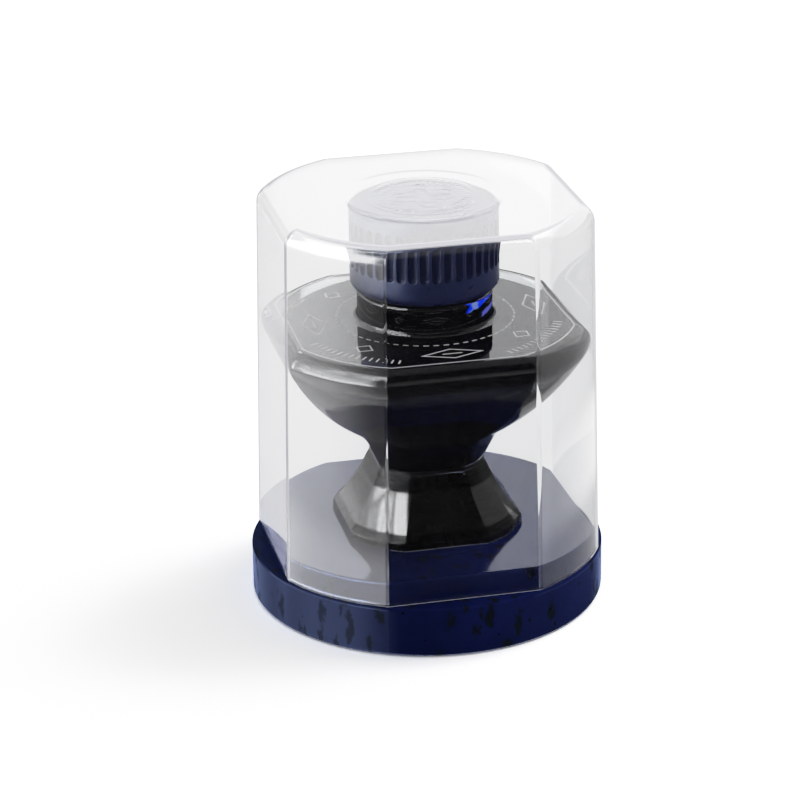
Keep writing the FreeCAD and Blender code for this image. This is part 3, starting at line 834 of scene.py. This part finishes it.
def cover_relief(cover):
    """A raised ring, bars and petals on the disc of the cover's top, all with soft slopes."""
    def ridge(distance, half):
        return eased(nearness(distance, half))

    def shift(grid):
        top = grid[..., 2] > cover.top + cover.disc_height * 0.98
        reach = np.hypot(grid[..., 0], grid[..., 1])
        turn = np.arctan2(grid[..., 1], grid[..., 0])
        ring = ridge(reach - cover.ring_radius, cover.ring_width)
        bar = (ridge(reach - cover.bar_radius, cover.bar_length)
               * ridge((turn * cover.bars / FULL) % 1 - 0.5, 0.25))
        petal = ridge(reach - cover.petal_radius
                      - cover.petal_reach * np.cos(turn * cover.petals), cover.petal_width)
        lift = np.maximum(ring, np.maximum(bar, petal))
        grid[..., 2] += np.where(top, lift * cover.relief, 0)
    return shift


def frost_rim(mesh, level):
    """Gives the faces below a level the second material, that of the cut rim."""
    for face in mesh.polygons:
        face.material_index = int(all(mesh.vertices[i].co.z < level for i in face.vertices))


def cover_mesh(cover, plan):
    """The clear cover: an even wall, open at the foot, with a raised disc on its top."""
    outer = shared_plan(plan.half_angle, cover.outer_crease / cover.radius)
    inner = shared_plan(plan.half_angle, cover.inner_crease / cover.radius)
    circle = round_plan(outer)
    turn_level = cover.top - cover.shoulder
    slope = plan.draft * (turn_level - cover.rim)
    side, inside = cover.radius - slope, cover.radius - slope - cover.wall
    ceiling = cover.top - cover.top_wall
    hollow = cover.shoulder - cover.wall
    cut = cover.rim_cut
    outline = Outline(round_plan(inner))
    outline.to(0, ceiling)
    outline.to(inside - hollow, ceiling, inner, steps=4)
    outline.corner((inside, ceiling), (inside, ceiling - hollow), 10)
    outline.to(cover.radius - cover.wall, cover.rim + cut, steps=5)
    outline.to(cover.radius - cover.wall + cut, cover.rim)
    outline.to(cover.radius - cut, cover.rim, outer)
    outline.to(cover.radius, cover.rim + cut)
    outline.to(side, turn_level, steps=5)
    outline.corner((side, cover.top), (side - cover.shoulder, cover.top), 14)
    outline.to(cover.disc_radius, cover.top, circle, steps=3)
    for step in range(1, 9):
        share = step / 8
        outline.to(cover.disc_radius - cover.disc_slope * share,
                   cover.top + cover.disc_height * eased(share))
    outline.to(0, cover.top + cover.disc_height, steps=64)
    mesh = turned("cover", outline, cover_relief(cover))
    frost_rim(mesh, cover.rim + 1.1 * cut)
    return mesh


def bottle_levels(bottle, base):
    """Heights that outside, chamber and ink share."""
    bowl = base.plinth_top + bottle.bowl_height
    top = bowl + bottle.rim_round
    collar = top + bottle.collar_height
    return bowl, top, collar, collar + bottle.neck_height


def chamber(outline, bottle, base, plan, grow):
    """The chamber's side from the mouth's level at the bowl's top down to the axis. grow
    widens it all round."""
    bowl, top = bottle_levels(bottle, base)[:2]
    flat_ratio = math.cos(plan.half_angle)
    wall, turn, angle = bottle.wall, bottle.bowl_turn, bottle.bowl_turn_angle
    widest = bottle.bowl_radius * flat_ratio - wall
    mouth = bottle.mouth_radius
    floor = base.plinth_top + bottle.well_floor
    diagonal = grow * 0.7  # sideways and upward share of the widening at a round
    outline.arc((mouth + wall * (1 - DIAGONAL) + diagonal, top - wall * DIAGONAL + diagonal),
                (mouth + wall, top - wall + grow))
    outline.to(widest - wall / 2, top - wall + grow, steps=4)
    outline.to(widest + grow, bowl)
    outline.arc((widest - turn * (1 - math.cos(angle / 2)) + grow,
                 bowl - turn * math.sin(angle / 2) - grow / 2),
                (widest - turn * (1 - math.cos(angle)) + grow, bowl - turn * math.sin(angle)))
    outline.to(bottle.stem_radius * flat_ratio - wall + grow,
               base.plinth_top + bottle.stem_height + wall / 2, steps=4)
    low = bottle.well_round
    outline.to(bottle.well_radius + grow, floor + low, steps=3)
    outline.arc((bottle.well_radius - low * (1 - DIAGONAL) + diagonal,
                 floor + low * (1 - DIAGONAL) - diagonal),
                (bottle.well_radius - low, floor - grow))
    outline.to(0, floor - grow, steps=2)


def thread_relief(bottle, base):
    """The raised spiral of the neck's thread."""
    collar = bottle_levels(bottle, base)[2]

    def shift(grid):
        reach = np.hypot(grid[..., 0], grid[..., 1])
        turn = np.arctan2(grid[..., 1], grid[..., 0]) / FULL % 1
        start = collar + bottle.thread_start
        on_neck = (reach > bottle.neck_radius - 0.01 * MM) & (grid[..., 2] > collar + MM)
        ridge = np.zeros(reach.shape)
        for lap in range(bottle.thread_laps):
            level = start + (turn + lap) * bottle.thread_pitch
            fade = (np.clip((turn + lap) / bottle.thread_fade, 0, 1)
                    * np.clip((bottle.thread_laps - turn - lap) / bottle.thread_fade, 0, 1))
            near = nearness(grid[..., 2] - level, bottle.thread_width)
            ridge = np.maximum(ridge, near * fade)
        lift = np.where(on_neck, eased(ridge) * bottle.thread_depth, 0)
        grid[..., :2] *= (1 + lift / np.where(reach > 0, reach, 1))[..., None]
    return shift


def bottle_mesh(bottle, base, plan):
    """The glass: foot, flare, stem, bowl, collar, threaded neck, mouth and ink chamber."""
    bowl, top, collar, lip = bottle_levels(bottle, base)
    flats = shared_plan(plan.half_angle, bottle.crease / bottle.bowl_radius)
    circle = round_plan(flats)
    foot, level = bottle.foot_radius, base.plinth_top
    waist, turn, angle = bottle.waist_radius, bottle.bowl_turn, bottle.bowl_turn_angle
    stem, stem_level = bottle.stem_radius, level + bottle.stem_height
    shrink, drop = turn * (1 - math.cos(angle)), turn * math.sin(angle)
    belly = bottle.bowl_belly * math.sqrt(2)
    rim, small = bottle.rim_round, bottle.lip_round
    outline = Outline(flats)
    outline.to(0, level)
    outline.to(foot - small / 3, level, steps=5)
    outline.corner((foot, level), (foot, level + small / 3), 4)
    outline.to(foot, level + bottle.foot_edge - small / 2)
    edge, turn_up = level + bottle.foot_edge, bottle.foot_round
    outline.arc((foot - 0.26 * turn_up, edge + 0.16 * turn_up),
                (foot - 0.84 * turn_up, edge + turn_up), 4)
    narrow, hollow = level + bottle.waist_height, bottle.waist_round
    outline.arc(((foot + waist) / 2 - bottle.flare_hollow,
                 level + (bottle.foot_edge + bottle.waist_height) / 2),
                (waist + hollow, narrow - 2.4 * hollow), 14)
    outline.arc((waist, narrow), (waist + 1.1 * hollow, narrow + 2.6 * hollow), 6)
    side = bottle.bowl_radius - shrink
    root = bottle.root_round
    outline.to(stem - 0.46 * root, stem_level - 0.89 * root)
    outline.arc((stem + 0.09 * root, stem_level - 0.17 * root),
                (stem + 0.88 * root, stem_level + 0.47 * root), 8)
    outline.arc(((stem + side + belly) / 2, (stem_level + bowl - drop - belly) / 2),
                (side, bowl - drop), 18)
    outline.arc((bottle.bowl_radius - turn * (1 - math.cos(angle / 2)),
                 bowl - turn * math.sin(angle / 2)), (bottle.bowl_radius, bowl), 8)
    outline.corner((bottle.bowl_radius, top), (bottle.bowl_radius - rim, top), 12)
    fillet = bottle.collar_radius + bottle.collar_fillet
    outline.to(fillet, top, circle, steps=3)
    outline.corner((bottle.collar_radius, top),
                   (bottle.collar_radius, top + bottle.collar_fillet), 8)
    outline.to(bottle.collar_radius, collar - small)
    outline.corner((bottle.collar_radius, collar), (bottle.collar_radius - small, collar), 5)
    outline.to(bottle.neck_radius, collar)
    outline.to(bottle.neck_radius, lip - small, steps=56)
    outline.corner((bottle.neck_radius, lip), (bottle.neck_radius - small, lip), 5)
    outline.to(bottle.mouth_radius + small, lip)
    outline.corner((bottle.mouth_radius, lip), (bottle.mouth_radius, lip - small), 5)
    outline.to(bottle.mouth_radius, top, steps=3)
    chamber(outline, bottle, base, plan, 0.0)
    return turned("glass_bottle", outline, thread_relief(bottle, base))


def ink_mesh(bottle, base, plan):
    """The ink, which reaches a hair into the glass around it, so that no air shows between."""
    top = bottle_levels(bottle, base)[1]
    level = top + bottle.ink_level
    grow = bottle.ink_overlap
    outline = Outline(even_plan(INK_STEPS))
    outline.to(0, level)
    outline.to(bottle.mouth_radius + grow, level, steps=3)
    outline.to(bottle.mouth_radius + grow, top + grow, steps=2)
    chamber(outline, bottle, base, plan, grow)
    outline.points.reverse()
    return turned("ink", outline)


def strip_mesh(name, plan, inner, outer, low, high):
    """A flat closed band that follows a plan."""
    count = len(plan)
    points, faces = [], []
    for radius, height in ((inner, low), (outer, low), (outer, high), (inner, high)):
        points += [(radius * x, radius * y, height) for x, y in plan]
    for side in range(4):
        here, there = side * count, (side + 1) % 4 * count
        for step in range(count):
            after = (step + 1) % count
            faces.append((here + step, here + after, there + after, there + step)[::-1])
    return plain_mesh(name, points, faces)


MITRE = 0.4  # a stroke's corner reaches out by half its width over this at most


def stroke_mesh(name, lines, width, low, high):
    """Closed flat bands of even width along lines."""
    points, faces = [], []
    for line in lines:
        line = [Vector(point) for point in line]
        start = len(points)
        for index, here in enumerate(line):
            ahead = (line[min(index + 1, len(line) - 1)] - here).normalized()
            behind = (here - line[max(index - 1, 0)]).normalized()
            along = (ahead + behind).normalized()
            side = Vector((-along.y, along.x))
            run = ahead if ahead.length > 0 else behind
            reach = width / 2 / max(MITRE, side.dot(Vector((-run.y, run.x))))
            for edge, height in ((-1, low), (1, low), (1, high), (-1, high)):
                spot = here + side * reach * edge
                points.append((spot.x, spot.y, height))
        last = len(points) - 4
        faces += [(start + 3, start + 2, start + 1, start), (last, last + 1, last + 2, last + 3)]
        for step in range(start, last, 4):
            for edge in range(4):
                after = (edge + 1) % 4
                faces.append((step + edge, step + after, step + after + 4, step + edge + 4))
    return plain_mesh(name, points, faces)


class RuleNodes(Nodes):
    """A Geometry Nodes tree with named inputs besides its geometry and material."""

    def __init__(self, name, **kinds):
        super().__init__(bpy.data.node_groups.new(name, "GeometryNodeTree"))
        self.declare("Geometry", "Geometry", "OUTPUT")
        for key, kind in {"Geometry": "Geometry", **kinds, "Material": "Material"}.items():
            self.declare(key.replace("_", " "), kind, "INPUT")
        self.given = self.every("NodeGroupInput")

    def declare(self, name, kind, way):
        """A named input or output of the tree."""
        self.tree.interface.new_socket(name, in_out=way, socket_type=f"NodeSocket{kind}")

    def finish(self, geometry):
        """The tree, with real geometry in its material as what it gives."""
        whole = self.add("GeometryNodeRealizeInstances", i0=geometry)
        painted = self.add("GeometryNodeSetMaterial", i0=whole, Material=self.given["Material"])
        self.node("NodeGroupOutput", i0=painted)
        return self.tree


def applied(name, mesh, tree, values):
    """The plain mesh that a Geometry Nodes tree makes of a mesh."""
    piece = linked(name, mesh)
    modifier = piece.modifiers.new(tree.name, "NODES")
    modifier.node_group = tree
    for item in tree.interface.items_tree:
        if item.in_out == "INPUT" and item.name in values:
            modifier[item.identifier] = values[item.name]
    piece.update_tag()
    evaluated = piece.evaluated_get(bpy.context.evaluated_depsgraph_get())
    made = bpy.data.meshes.new_from_object(evaluated)
    bpy.data.objects.remove(piece)
    bpy.data.meshes.remove(mesh)
    made.name = name
    return made


def ring_tree():
    """Geometry Nodes: sets copies of a mark in a ring, each turned outward, or only in rows
    around the middles of the four rounds."""
    rule = RuleNodes("print_ring", Count="Int", Ring_Radius="Float", Start_Angle="Float",
                     Row_Reach="Float")
    given = rule.given
    ring = rule.add("GeometryNodeMeshCircle", Vertices=given["Count"],
                    Radius=given["Ring Radius"])
    turn = rule.add("GeometryNodeInputIndex") * (FULL / given["Count"])
    outward = rule.add("ShaderNodeCombineXYZ", i2=turn)
    marks = rule.add("GeometryNodeInstanceOnPoints", Points=ring, Instance=given["Geometry"],
                     Selection=rule.math("COSINE", turn * FLATS) < given["Row Reach"],
                     Rotation=outward)
    start = rule.add("ShaderNodeCombineXYZ", i2=given["Start Angle"])
    return rule.finish(rule.add("GeometryNodeTransform", Geometry=marks, Rotation=start))


def flute_tree():
    """Geometry Nodes: sinks round-ended flutes into the side of a turned mesh."""
    rule = RuleNodes("cap_flutes", Count="Int", Cap_Radius="Float", Flute_Radius="Float",
                     Depth="Float", Start="Float", End="Float")
    _, count, cap, flute, depth, start, end = list(rule.given.values())[:7]
    x, y, z = rule.xyz(rule.add("GeometryNodeInputPosition"))
    reach = rule.reach(x, y)
    lap = rule.math("FRACT", rule.math("ARCTAN2", y, x) / FULL * count) - 0.5
    aside = lap * (cap * FULL / count)
    beyond = rule.larger(rule.larger(start + flute - z, z - (end - flute)), 0.0)
    left = flute * flute - aside * aside - beyond * beyond
    chord = rule.math("SQRT", rule.larger(left, 0.0))
    share = -rule.larger(chord - (flute - depth), 0.0) / reach
    offset = rule.add("ShaderNodeCombineXYZ", i0=x * share, i1=y * share)
    return rule.finish(rule.add("GeometryNodeSetPosition", Geometry=rule.given["Geometry"],
                                Selection=reach > cap * 0.95, Offset=offset))


def lozenge(wide, long):
    """The line around a lozenge, from the middle of one side."""
    return [(wide / 2, -long / 2), (wide, 0), (0, long), (-wide, 0), (0, -long),
            (wide / 2, -long / 2)]


def cap_mesh(cap, material):
    """The screw cap: a turned shell whose flutes follow a rule."""
    low, high, edge = cap.lower_round, cap.upper_round, 0.25 * MM
    spare = 0.2 * MM  # from a flute's end to the next row of points
    outline = Outline(even_plan(cap.flutes * FLUTE_STEPS))
    outline.to(0, cap.ceiling)
    outline.to(cap.bore, cap.ceiling, steps=2)
    outline.to(cap.bore, cap.bottom + edge, steps=2)
    outline.corner((cap.bore, cap.bottom), (cap.bore + edge, cap.bottom), 3)
    outline.to(cap.radius - low, cap.bottom)
    outline.corner((cap.radius, cap.bottom), (cap.radius, cap.bottom + low), 8)
    flute_low, flute_high = cap.bottom + cap.flute_start, cap.top - cap.flute_end
    outline.to(cap.radius, flute_low - spare, steps=3)
    outline.to(cap.radius, flute_low + cap.flute_radius + spare, steps=14)
    outline.to(cap.radius, flute_high - cap.flute_radius - spare, steps=8)
    outline.to(cap.radius, flute_high + spare, steps=14)
    outline.to(cap.radius, cap.top - high, steps=2)
    outline.corner((cap.radius, cap.top), (cap.radius - high, cap.top), 8)
    outline.to(cap.radius - high - 0.1 * MM, cap.top)
    outline.to(0, cap.top, steps=4)
    form = turned("cap_form", outline)
    form.attributes.remove(form.attributes["custom_normal"])
    mesh = applied("cap_shell", form, flute_tree(), {
        "Count": cap.flutes, "Cap Radius": cap.radius, "Flute Radius": cap.flute_radius,
        "Depth": cap.flute_depth, "Start": flute_low, "End": flute_high, "Material": material,
    })
    mesh.set_sharp_from_angle(angle=SHARP)
    return mesh


# ---------------------------------------------------------------- studio


# Panels of the studio as gloss sees them: middle and half width around the object, low and
# high edge above the horizon, softness of the upright and of the level edges, all in degrees,
# how far the high edge sinks per degree to the right, and brightness. Around the object, 0 is
# the front and 90 the right. OUTER is for the cover and the base, INNER for what stands
# under the cover.
OUTER = [
    (0, 181, -91, 91, 1, 1, 0, 0.35),
    (-120, 56, -91, 6, 44, 10, 0, 1.9),
    (-110, 62, -91, -24.5, 40, 3, 0, 1.2),
    (-80, 22, -91, -24.5, 24, 3, 0, 1.9),
    (180, 52, -91, 2, 16, 10, 0, 0.7),
    (13, 48, -91, 60, 8, 6, 0, 0.02),
    (13, 48, 34, 80, 8, 14, 0, 0.4),
    (98, 40, -91, 2, 6, 6, 0, 0.6),
    (98, 40, -22.8, -21.3, 6, 0.8, 0, 1.5),
    (88, 48, -91, -24.6, 30, 1.5, 0, 0.08),
    (-88, 50, -24.4, -22.4, 8, 1, 0, 2.8),
    (-110, 70, 55, 91, 10, 10, 0, 1.0),
    (-85, 47, -17.1, 4, 6, 1.4, 0, 3.2),
    (-95, 50, 0, 61, 12, 20, 0.35, 12.0),
    (168, 75, 13, 46, 6, 4, 0, 2.05),
]
INNER = [
    (0, 181, -91, 91, 1, 1, 0, 0.35),
    (-120, 56, -91, 6, 44, 10, 0, 1.9),
    (180, 52, -91, 2, 16, 10, 0, 0.7),
    (13, 48, -91, 60, 8, 6, 0, 0.02),
    (13, 48, -12, 14, 8, 6, 0, 0.35),
    (98, 40, -91, 2, 6, 6, 0, 0.15),
    (-105, 35, 4, 60, 14, 12, 0, 2.6),
    (-77, 28, -17, 24, 12, 8, 0, 9.0),
    (-76, 30, 27, 61, 4, 6, 0, 4.6),
    (-57, 9.5, 27, 61, 4, 6, 0, 10.5),
    (-81.5, 9, 27, 61, 6, 6, 0, 9.5),
    (178, 64, 13, 46, 6, 4, 0, 2.05),
    (-90, 60, -27, -22.6, 20, 1.5, 0, 0.5),
]


def panel_light(nodes, around, above, panels):
    """The brightness of the panels in every direction."""
    bright = 0.0
    for *angles, lean, strength in panels:
        middle, half, low, high, soft, soft_up = map(math.radians, angles)
        aside = nodes.math("WRAP", around - middle, math.pi, -math.pi)
        inside = nodes.steps(nodes.math("ABSOLUTE", aside), half + soft / 2, half - soft / 2)
        over = nodes.steps(above, low - soft_up / 2, low + soft_up / 2)
        under = nodes.steps(above + aside * lean, high + soft_up / 2, high - soft_up / 2)
        bright = nodes.between(inside * over * under, bright, float(strength))
    return bright


def studio_light():
    """The studio around the object: soft even light for dull surfaces, and for gloss the
    panels of OUTER and INNER."""
    world = bpy.data.worlds.new("studio")
    bpy.context.scene.world = world
    world.use_nodes = True
    nodes = Nodes(world.node_tree)
    nodes.tree.nodes.clear()
    x, y, z = nodes.xyz(nodes.add("ShaderNodeTexCoord", output="Generated"))
    around, above = nodes.math("ARCTAN2", x, -y), nodes.math("ARCSINE", z)
    bright = nodes.between(nodes.ray("Transmission Depth") > CROSSED,
                           panel_light(nodes, around, above, OUTER),
                           panel_light(nodes, around, above, INNER))
    seen = nodes.larger(nodes.ray("Is Camera Ray"), nodes.ray("Is Transmission Ray"))
    level = nodes.between(nodes.ray("Glossy Depth") > 0.5, nodes.between(seen, 0.75, 0.88),
                          bright)
    background = nodes.add("ShaderNodeBackground", Color=(1, 1, 1), Strength=level)
    nodes.node("ShaderNodeOutputWorld", i0=background)


def direction(azimuth, elevation):
    """The direction from the object to a place around and above it."""
    return Vector((math.sin(azimuth) * math.cos(elevation),
                   -math.cos(azimuth) * math.cos(elevation), math.sin(elevation)))


def side_lamp(studio):
    """A soft square lamp that faces the object and shows in no gloss."""
    lamp = bpy.data.lights.new("side_lamp", "AREA")
    lamp.shape = "RECTANGLE"
    lamp.size = lamp.size_y = studio.lamp_size
    lamp.energy = studio.lamp_power
    holder = linked("side_lamp", lamp)
    back = direction(studio.lamp_azimuth, studio.lamp_elevation)
    holder.location = Vector((0, 0, studio.lamp_target)) + back * studio.lamp_distance
    holder.rotation_euler = (-back).to_track_quat("-Z", "Y").to_euler()
    holder.visible_glossy = holder.visible_transmission = holder.visible_camera = False


def floor_material():
    """Plain pale floor, paler where it is seen directly. Gloss sees the studio instead."""
    material, nodes, here = new_material("pale_floor")
    color = nodes.blend(nodes.noise(here, 3.0, 2.0), (0.79, 0.79, 0.79), (0.81, 0.81, 0.81))
    share = nodes.larger(nodes.ray("Is Camera Ray"), nodes.ray("Is Transmission Ray") * 0.06)
    seen = nodes.mixed(share, nodes.diffuse(color), nodes.diffuse((1.62, 1.62, 1.62)))
    in_gloss = nodes.ray("Glossy Depth") > 0.5
    return finished(material, nodes, nodes.mixed(in_gloss, seen, nodes.clear()))


def floor_mesh(radius):
    """A round flat floor."""
    points = [(radius * x, radius * y, 0) for x, y in even_plan(FLOOR_STEPS)]
    mesh = plain_mesh("floor", points, [tuple(range(FLOOR_STEPS))])
    mesh.materials.append(floor_material())
    return mesh


def photo_camera(studio):
    """The camera at the photograph's viewing angle."""
    roll = studio.roll
    right = Vector((math.cos(studio.azimuth), math.sin(studio.azimuth), 0))
    ahead = -direction(studio.azimuth, studio.elevation)
    up = right.cross(ahead)
    turned_right = math.cos(roll) * right + math.sin(roll) * up
    turned_up = math.cos(roll) * up - math.sin(roll) * right
    target = right * studio.aside + Vector((0, 0, studio.height))
    camera = bpy.data.cameras.new("photo_camera")
    camera.lens = studio.lens
    camera.clip_start, camera.clip_end = 0.01, 20.0
    holder = linked("photo_camera", camera)
    pose = Matrix((turned_right, turned_up, -ahead)).transposed().to_4x4()
    pose.translation = target - ahead * studio.distance
    holder.matrix_world = pose
    bpy.context.scene.camera = holder


# Light in the scene and what the picture makes of it, both as shares of the whitest light.
WHITEST = 1.8
TONES = [(0.03, 0.054), (0.1, 0.18), (0.2, 0.36), (0.3, 0.54), (0.39, 0.68), (0.5, 0.79),
         (0.69, 0.89), (0.85, 0.98)]


def picture_tones(scene):
    """A plain picture whose highlights roll off as in a photograph."""
    scene.view_settings.view_transform = "Standard"
    scene.view_settings.use_curve_mapping = True
    mapping = scene.view_settings.curve_mapping
    mapping.white_level = (WHITEST, WHITEST, WHITEST)
    curve = mapping.curves[3]
    for light, tone in TONES:
        curve.points.new(light, tone)
    mapping.update()


# ---------------------------------------------------------------- operators


class INKBOTTLE_OT_stage(bpy.types.Operator):
    """Makes the floor, the camera and the light"""

    bl_idname = "inkbottle.stage"
    bl_label = "Stage"

    def execute(self, context):
        studio = context.scene.inkbottle_studio
        linked("floor", floor_mesh(studio.floor_radius))
        photo_camera(studio)
        studio_light()
        side_lamp(studio)
        picture_tones(context.scene)
        return {"FINISHED"}


class INKBOTTLE_OT_base(bpy.types.Operator):
    """Makes the flecked base and finishes its pad"""

    bl_idname = "inkbottle.base"
    bl_label = "Base"

    def execute(self, context):
        base, plan = context.scene.inkbottle_base, context.scene.inkbottle_plan
        plastic = fleck_plastic(base, context.scene.inkbottle_bottle.foot_radius)
        place("base", base_mesh(base, plan), "base", "base_plastic", [plastic], "base")
        finish_node("base_pad", rubber_material())
        return {"FINISHED"}


class INKBOTTLE_OT_bottle(bpy.types.Operator):
    """Makes the glass bottle and the ink inside it"""

    bl_idname = "inkbottle.bottle"
    bl_label = "Bottle and Ink"

    def execute(self, context):
        scene = context.scene
        bottle, base, plan = scene.inkbottle_bottle, scene.inkbottle_base, scene.inkbottle_plan
        # The bottle's gloss bands: painted highlights and painted shade.
        gloss = [(base.plinth_top + low * MM, base.plinth_top + high * MM, share)
                 for low, high, share in GLASS_PAINTED_GLOSS]
        # mirrored is a painted reflection: the bottle shows near-black in the gloss of other
        # surfaces.
        glass = clear_material("clear_pressed_glass", 1.5, (0.96, 0.985, 0.975),
                               (0.88, 0.92, 0.90), (45.0, 0.004 * MM),
                               mirrored=(0.01, 0.01, 0.012), gloss=gloss)
        place("glass_bottle", bottle_mesh(bottle, base, plan), "bottle", "bottle_glass", [glass],
              "glass_bottle")
        place("ink", ink_mesh(bottle, base, plan), "bottle", "ink_blue",
              [ink_material(scene.inkbottle_ink)], "ink")
        return {"FINISHED"}


class INKBOTTLE_OT_print(bpy.types.Operator):
    """Prints the plain line ornament on the bowl's top face"""

    bl_idname = "inkbottle.print"
    bl_label = "Printed Lines"

    def execute(self, context):
        scene = context.scene
        bottle, base, plan = scene.inkbottle_bottle, scene.inkbottle_base, scene.inkbottle_plan
        lines = scene.inkbottle_print
        top = bottle_levels(bottle, base)[1]
        low, high = top + 0.002 * MM, top + lines.film
        silver, half = print_material(), lines.width / 2
        dash, bar, long = lines.dash, lines.bar, lines.lozenge_length
        marks = {"print_border": strip_mesh(
            "print_border", shared_plan(plan.half_angle, 0.02), lines.border - half,
            lines.border + half, low, high)}
        rings = [
            ("dashes", [[(0, -dash), (0, dash)]], lines.dashes, lines.dash_ring, 0.0, 2.0),
            ("bars", [[(-bar, 0), (bar, 0)]], lines.bars, lines.bar_ring, 0.0, lines.bar_rows),
            ("lozenges", [lozenge(lines.lozenge_width, long), [(0, -long / 3), (0, long / 3)]],
             FLATS, lines.lozenge_ring, 0.0, 2.0),
            ("small_lozenges", [lozenge(lines.small_lozenge, lines.small_lozenge)],
             FLATS, lines.small_ring, math.pi / FLATS, 2.0),
        ]
        for kind, strokes, count_around, radius, start, reach in rings:
            name = f"print_{kind}"
            mark = stroke_mesh(name, strokes, lines.width, low, high)
            marks[name] = applied(name, mark, ring_tree(), {
                "Count": count_around, "Ring Radius": radius, "Start Angle": start,
                "Row Reach": reach, "Material": silver,
            })
        for name, mesh in marks.items():
            place(name, mesh, "bottle", "bottle_glass", [silver])
        return {"FINISHED"}


class INKBOTTLE_OT_cap(bpy.types.Operator):
    """Makes the fluted screw cap and finishes its liner"""

    bl_idname = "inkbottle.cap"
    bl_label = "Cap"

    def execute(self, context):
        cap = context.scene.inkbottle_cap
        plastic = cap_plastic(cap, context.scene.inkbottle_bottle.collar_radius)
        place("cap_shell", cap_mesh(cap, plastic), "cap", "cap_plastic", [plastic], "cap_shell")
        finish_node("cap_liner", foam_material())
        return {"FINISHED"}


class INKBOTTLE_OT_cover(bpy.types.Operator):
    """Makes the clear cover"""

    bl_idname = "inkbottle.cover"
    bl_label = "Cover"

    def execute(self, context):
        cover, plan = context.scene.inkbottle_cover, context.scene.inkbottle_plan
        # body is painted light: the pale colour shown where light is caught inside the cover's
        # walls.
        clear = clear_material("clear_cover_plastic", 1.49, (0.975, 0.98, 0.985),
                               (0.90, 0.90, 0.91), (30.0, 0.01 * MM),
                               body=(0.62, 0.62, 0.66))
        place("cover", cover_mesh(cover, plan), "cover", "cover_clear",
              [clear, rim_material()], "cover")
        return {"FINISHED"}


def finish_node(name, material):
    """Gives a piece of the frame that stays as it is a finished material."""
    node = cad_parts[name]
    node.data.materials.clear()
    node.data.materials.append(material)


OPERATORS = [INKBOTTLE_OT_stage, INKBOTTLE_OT_base, INKBOTTLE_OT_bottle, INKBOTTLE_OT_print,
             INKBOTTLE_OT_cap, INKBOTTLE_OT_cover]
SETTINGS = {
    "plan": PlanSettings, "base": BaseSettings, "cover": CoverSettings,
    "bottle": BottleSettings, "ink": InkSettings, "print": PrintSettings,
    "cap": CapSettings, "studio": StudioSettings,
}


class INKBOTTLE_PT_pieces(bpy.types.Panel):
    """Lists the pieces in the order in which they are made"""

    bl_idname = "INKBOTTLE_PT_pieces"
    bl_label = "Ink Bottle"
    bl_space_type = "VIEW_3D"
    bl_region_type = "UI"
    bl_category = "Ink Bottle"

    def draw(self, context):
        for operator in OPERATORS:
            self.layout.operator(operator.bl_idname)
        for name in SETTINGS:
            settings = getattr(context.scene, f"inkbottle_{name}")
            box = self.layout.box()
            box.label(text=name.title())
            for key in settings.bl_rna.properties.keys():
                if key not in ("rna_type", "name"):
                    box.prop(settings, key)


def register():
    for name, group in SETTINGS.items():
        bpy.utils.register_class(group)
        setattr(bpy.types.Scene, f"inkbottle_{name}", PointerProperty(type=group))
    for operator in OPERATORS:
        bpy.utils.register_class(operator)
    bpy.utils.register_class(INKBOTTLE_PT_pieces)


def unregister():
    bpy.utils.unregister_class(INKBOTTLE_PT_pieces)
    for operator in reversed(OPERATORS):
        bpy.utils.unregister_class(operator)
    for name, group in SETTINGS.items():
        delattr(bpy.types.Scene, f"inkbottle_{name}")
        bpy.utils.unregister_class(group)


def main():
    register()
    bpy.ops.inkbottle.stage()
    bpy.ops.inkbottle.base()
    bpy.ops.inkbottle.bottle()
    bpy.ops.inkbottle.print()
    bpy.ops.inkbottle.cap()
    bpy.ops.inkbottle.cover()


if __name__ == "__main__":
    main()
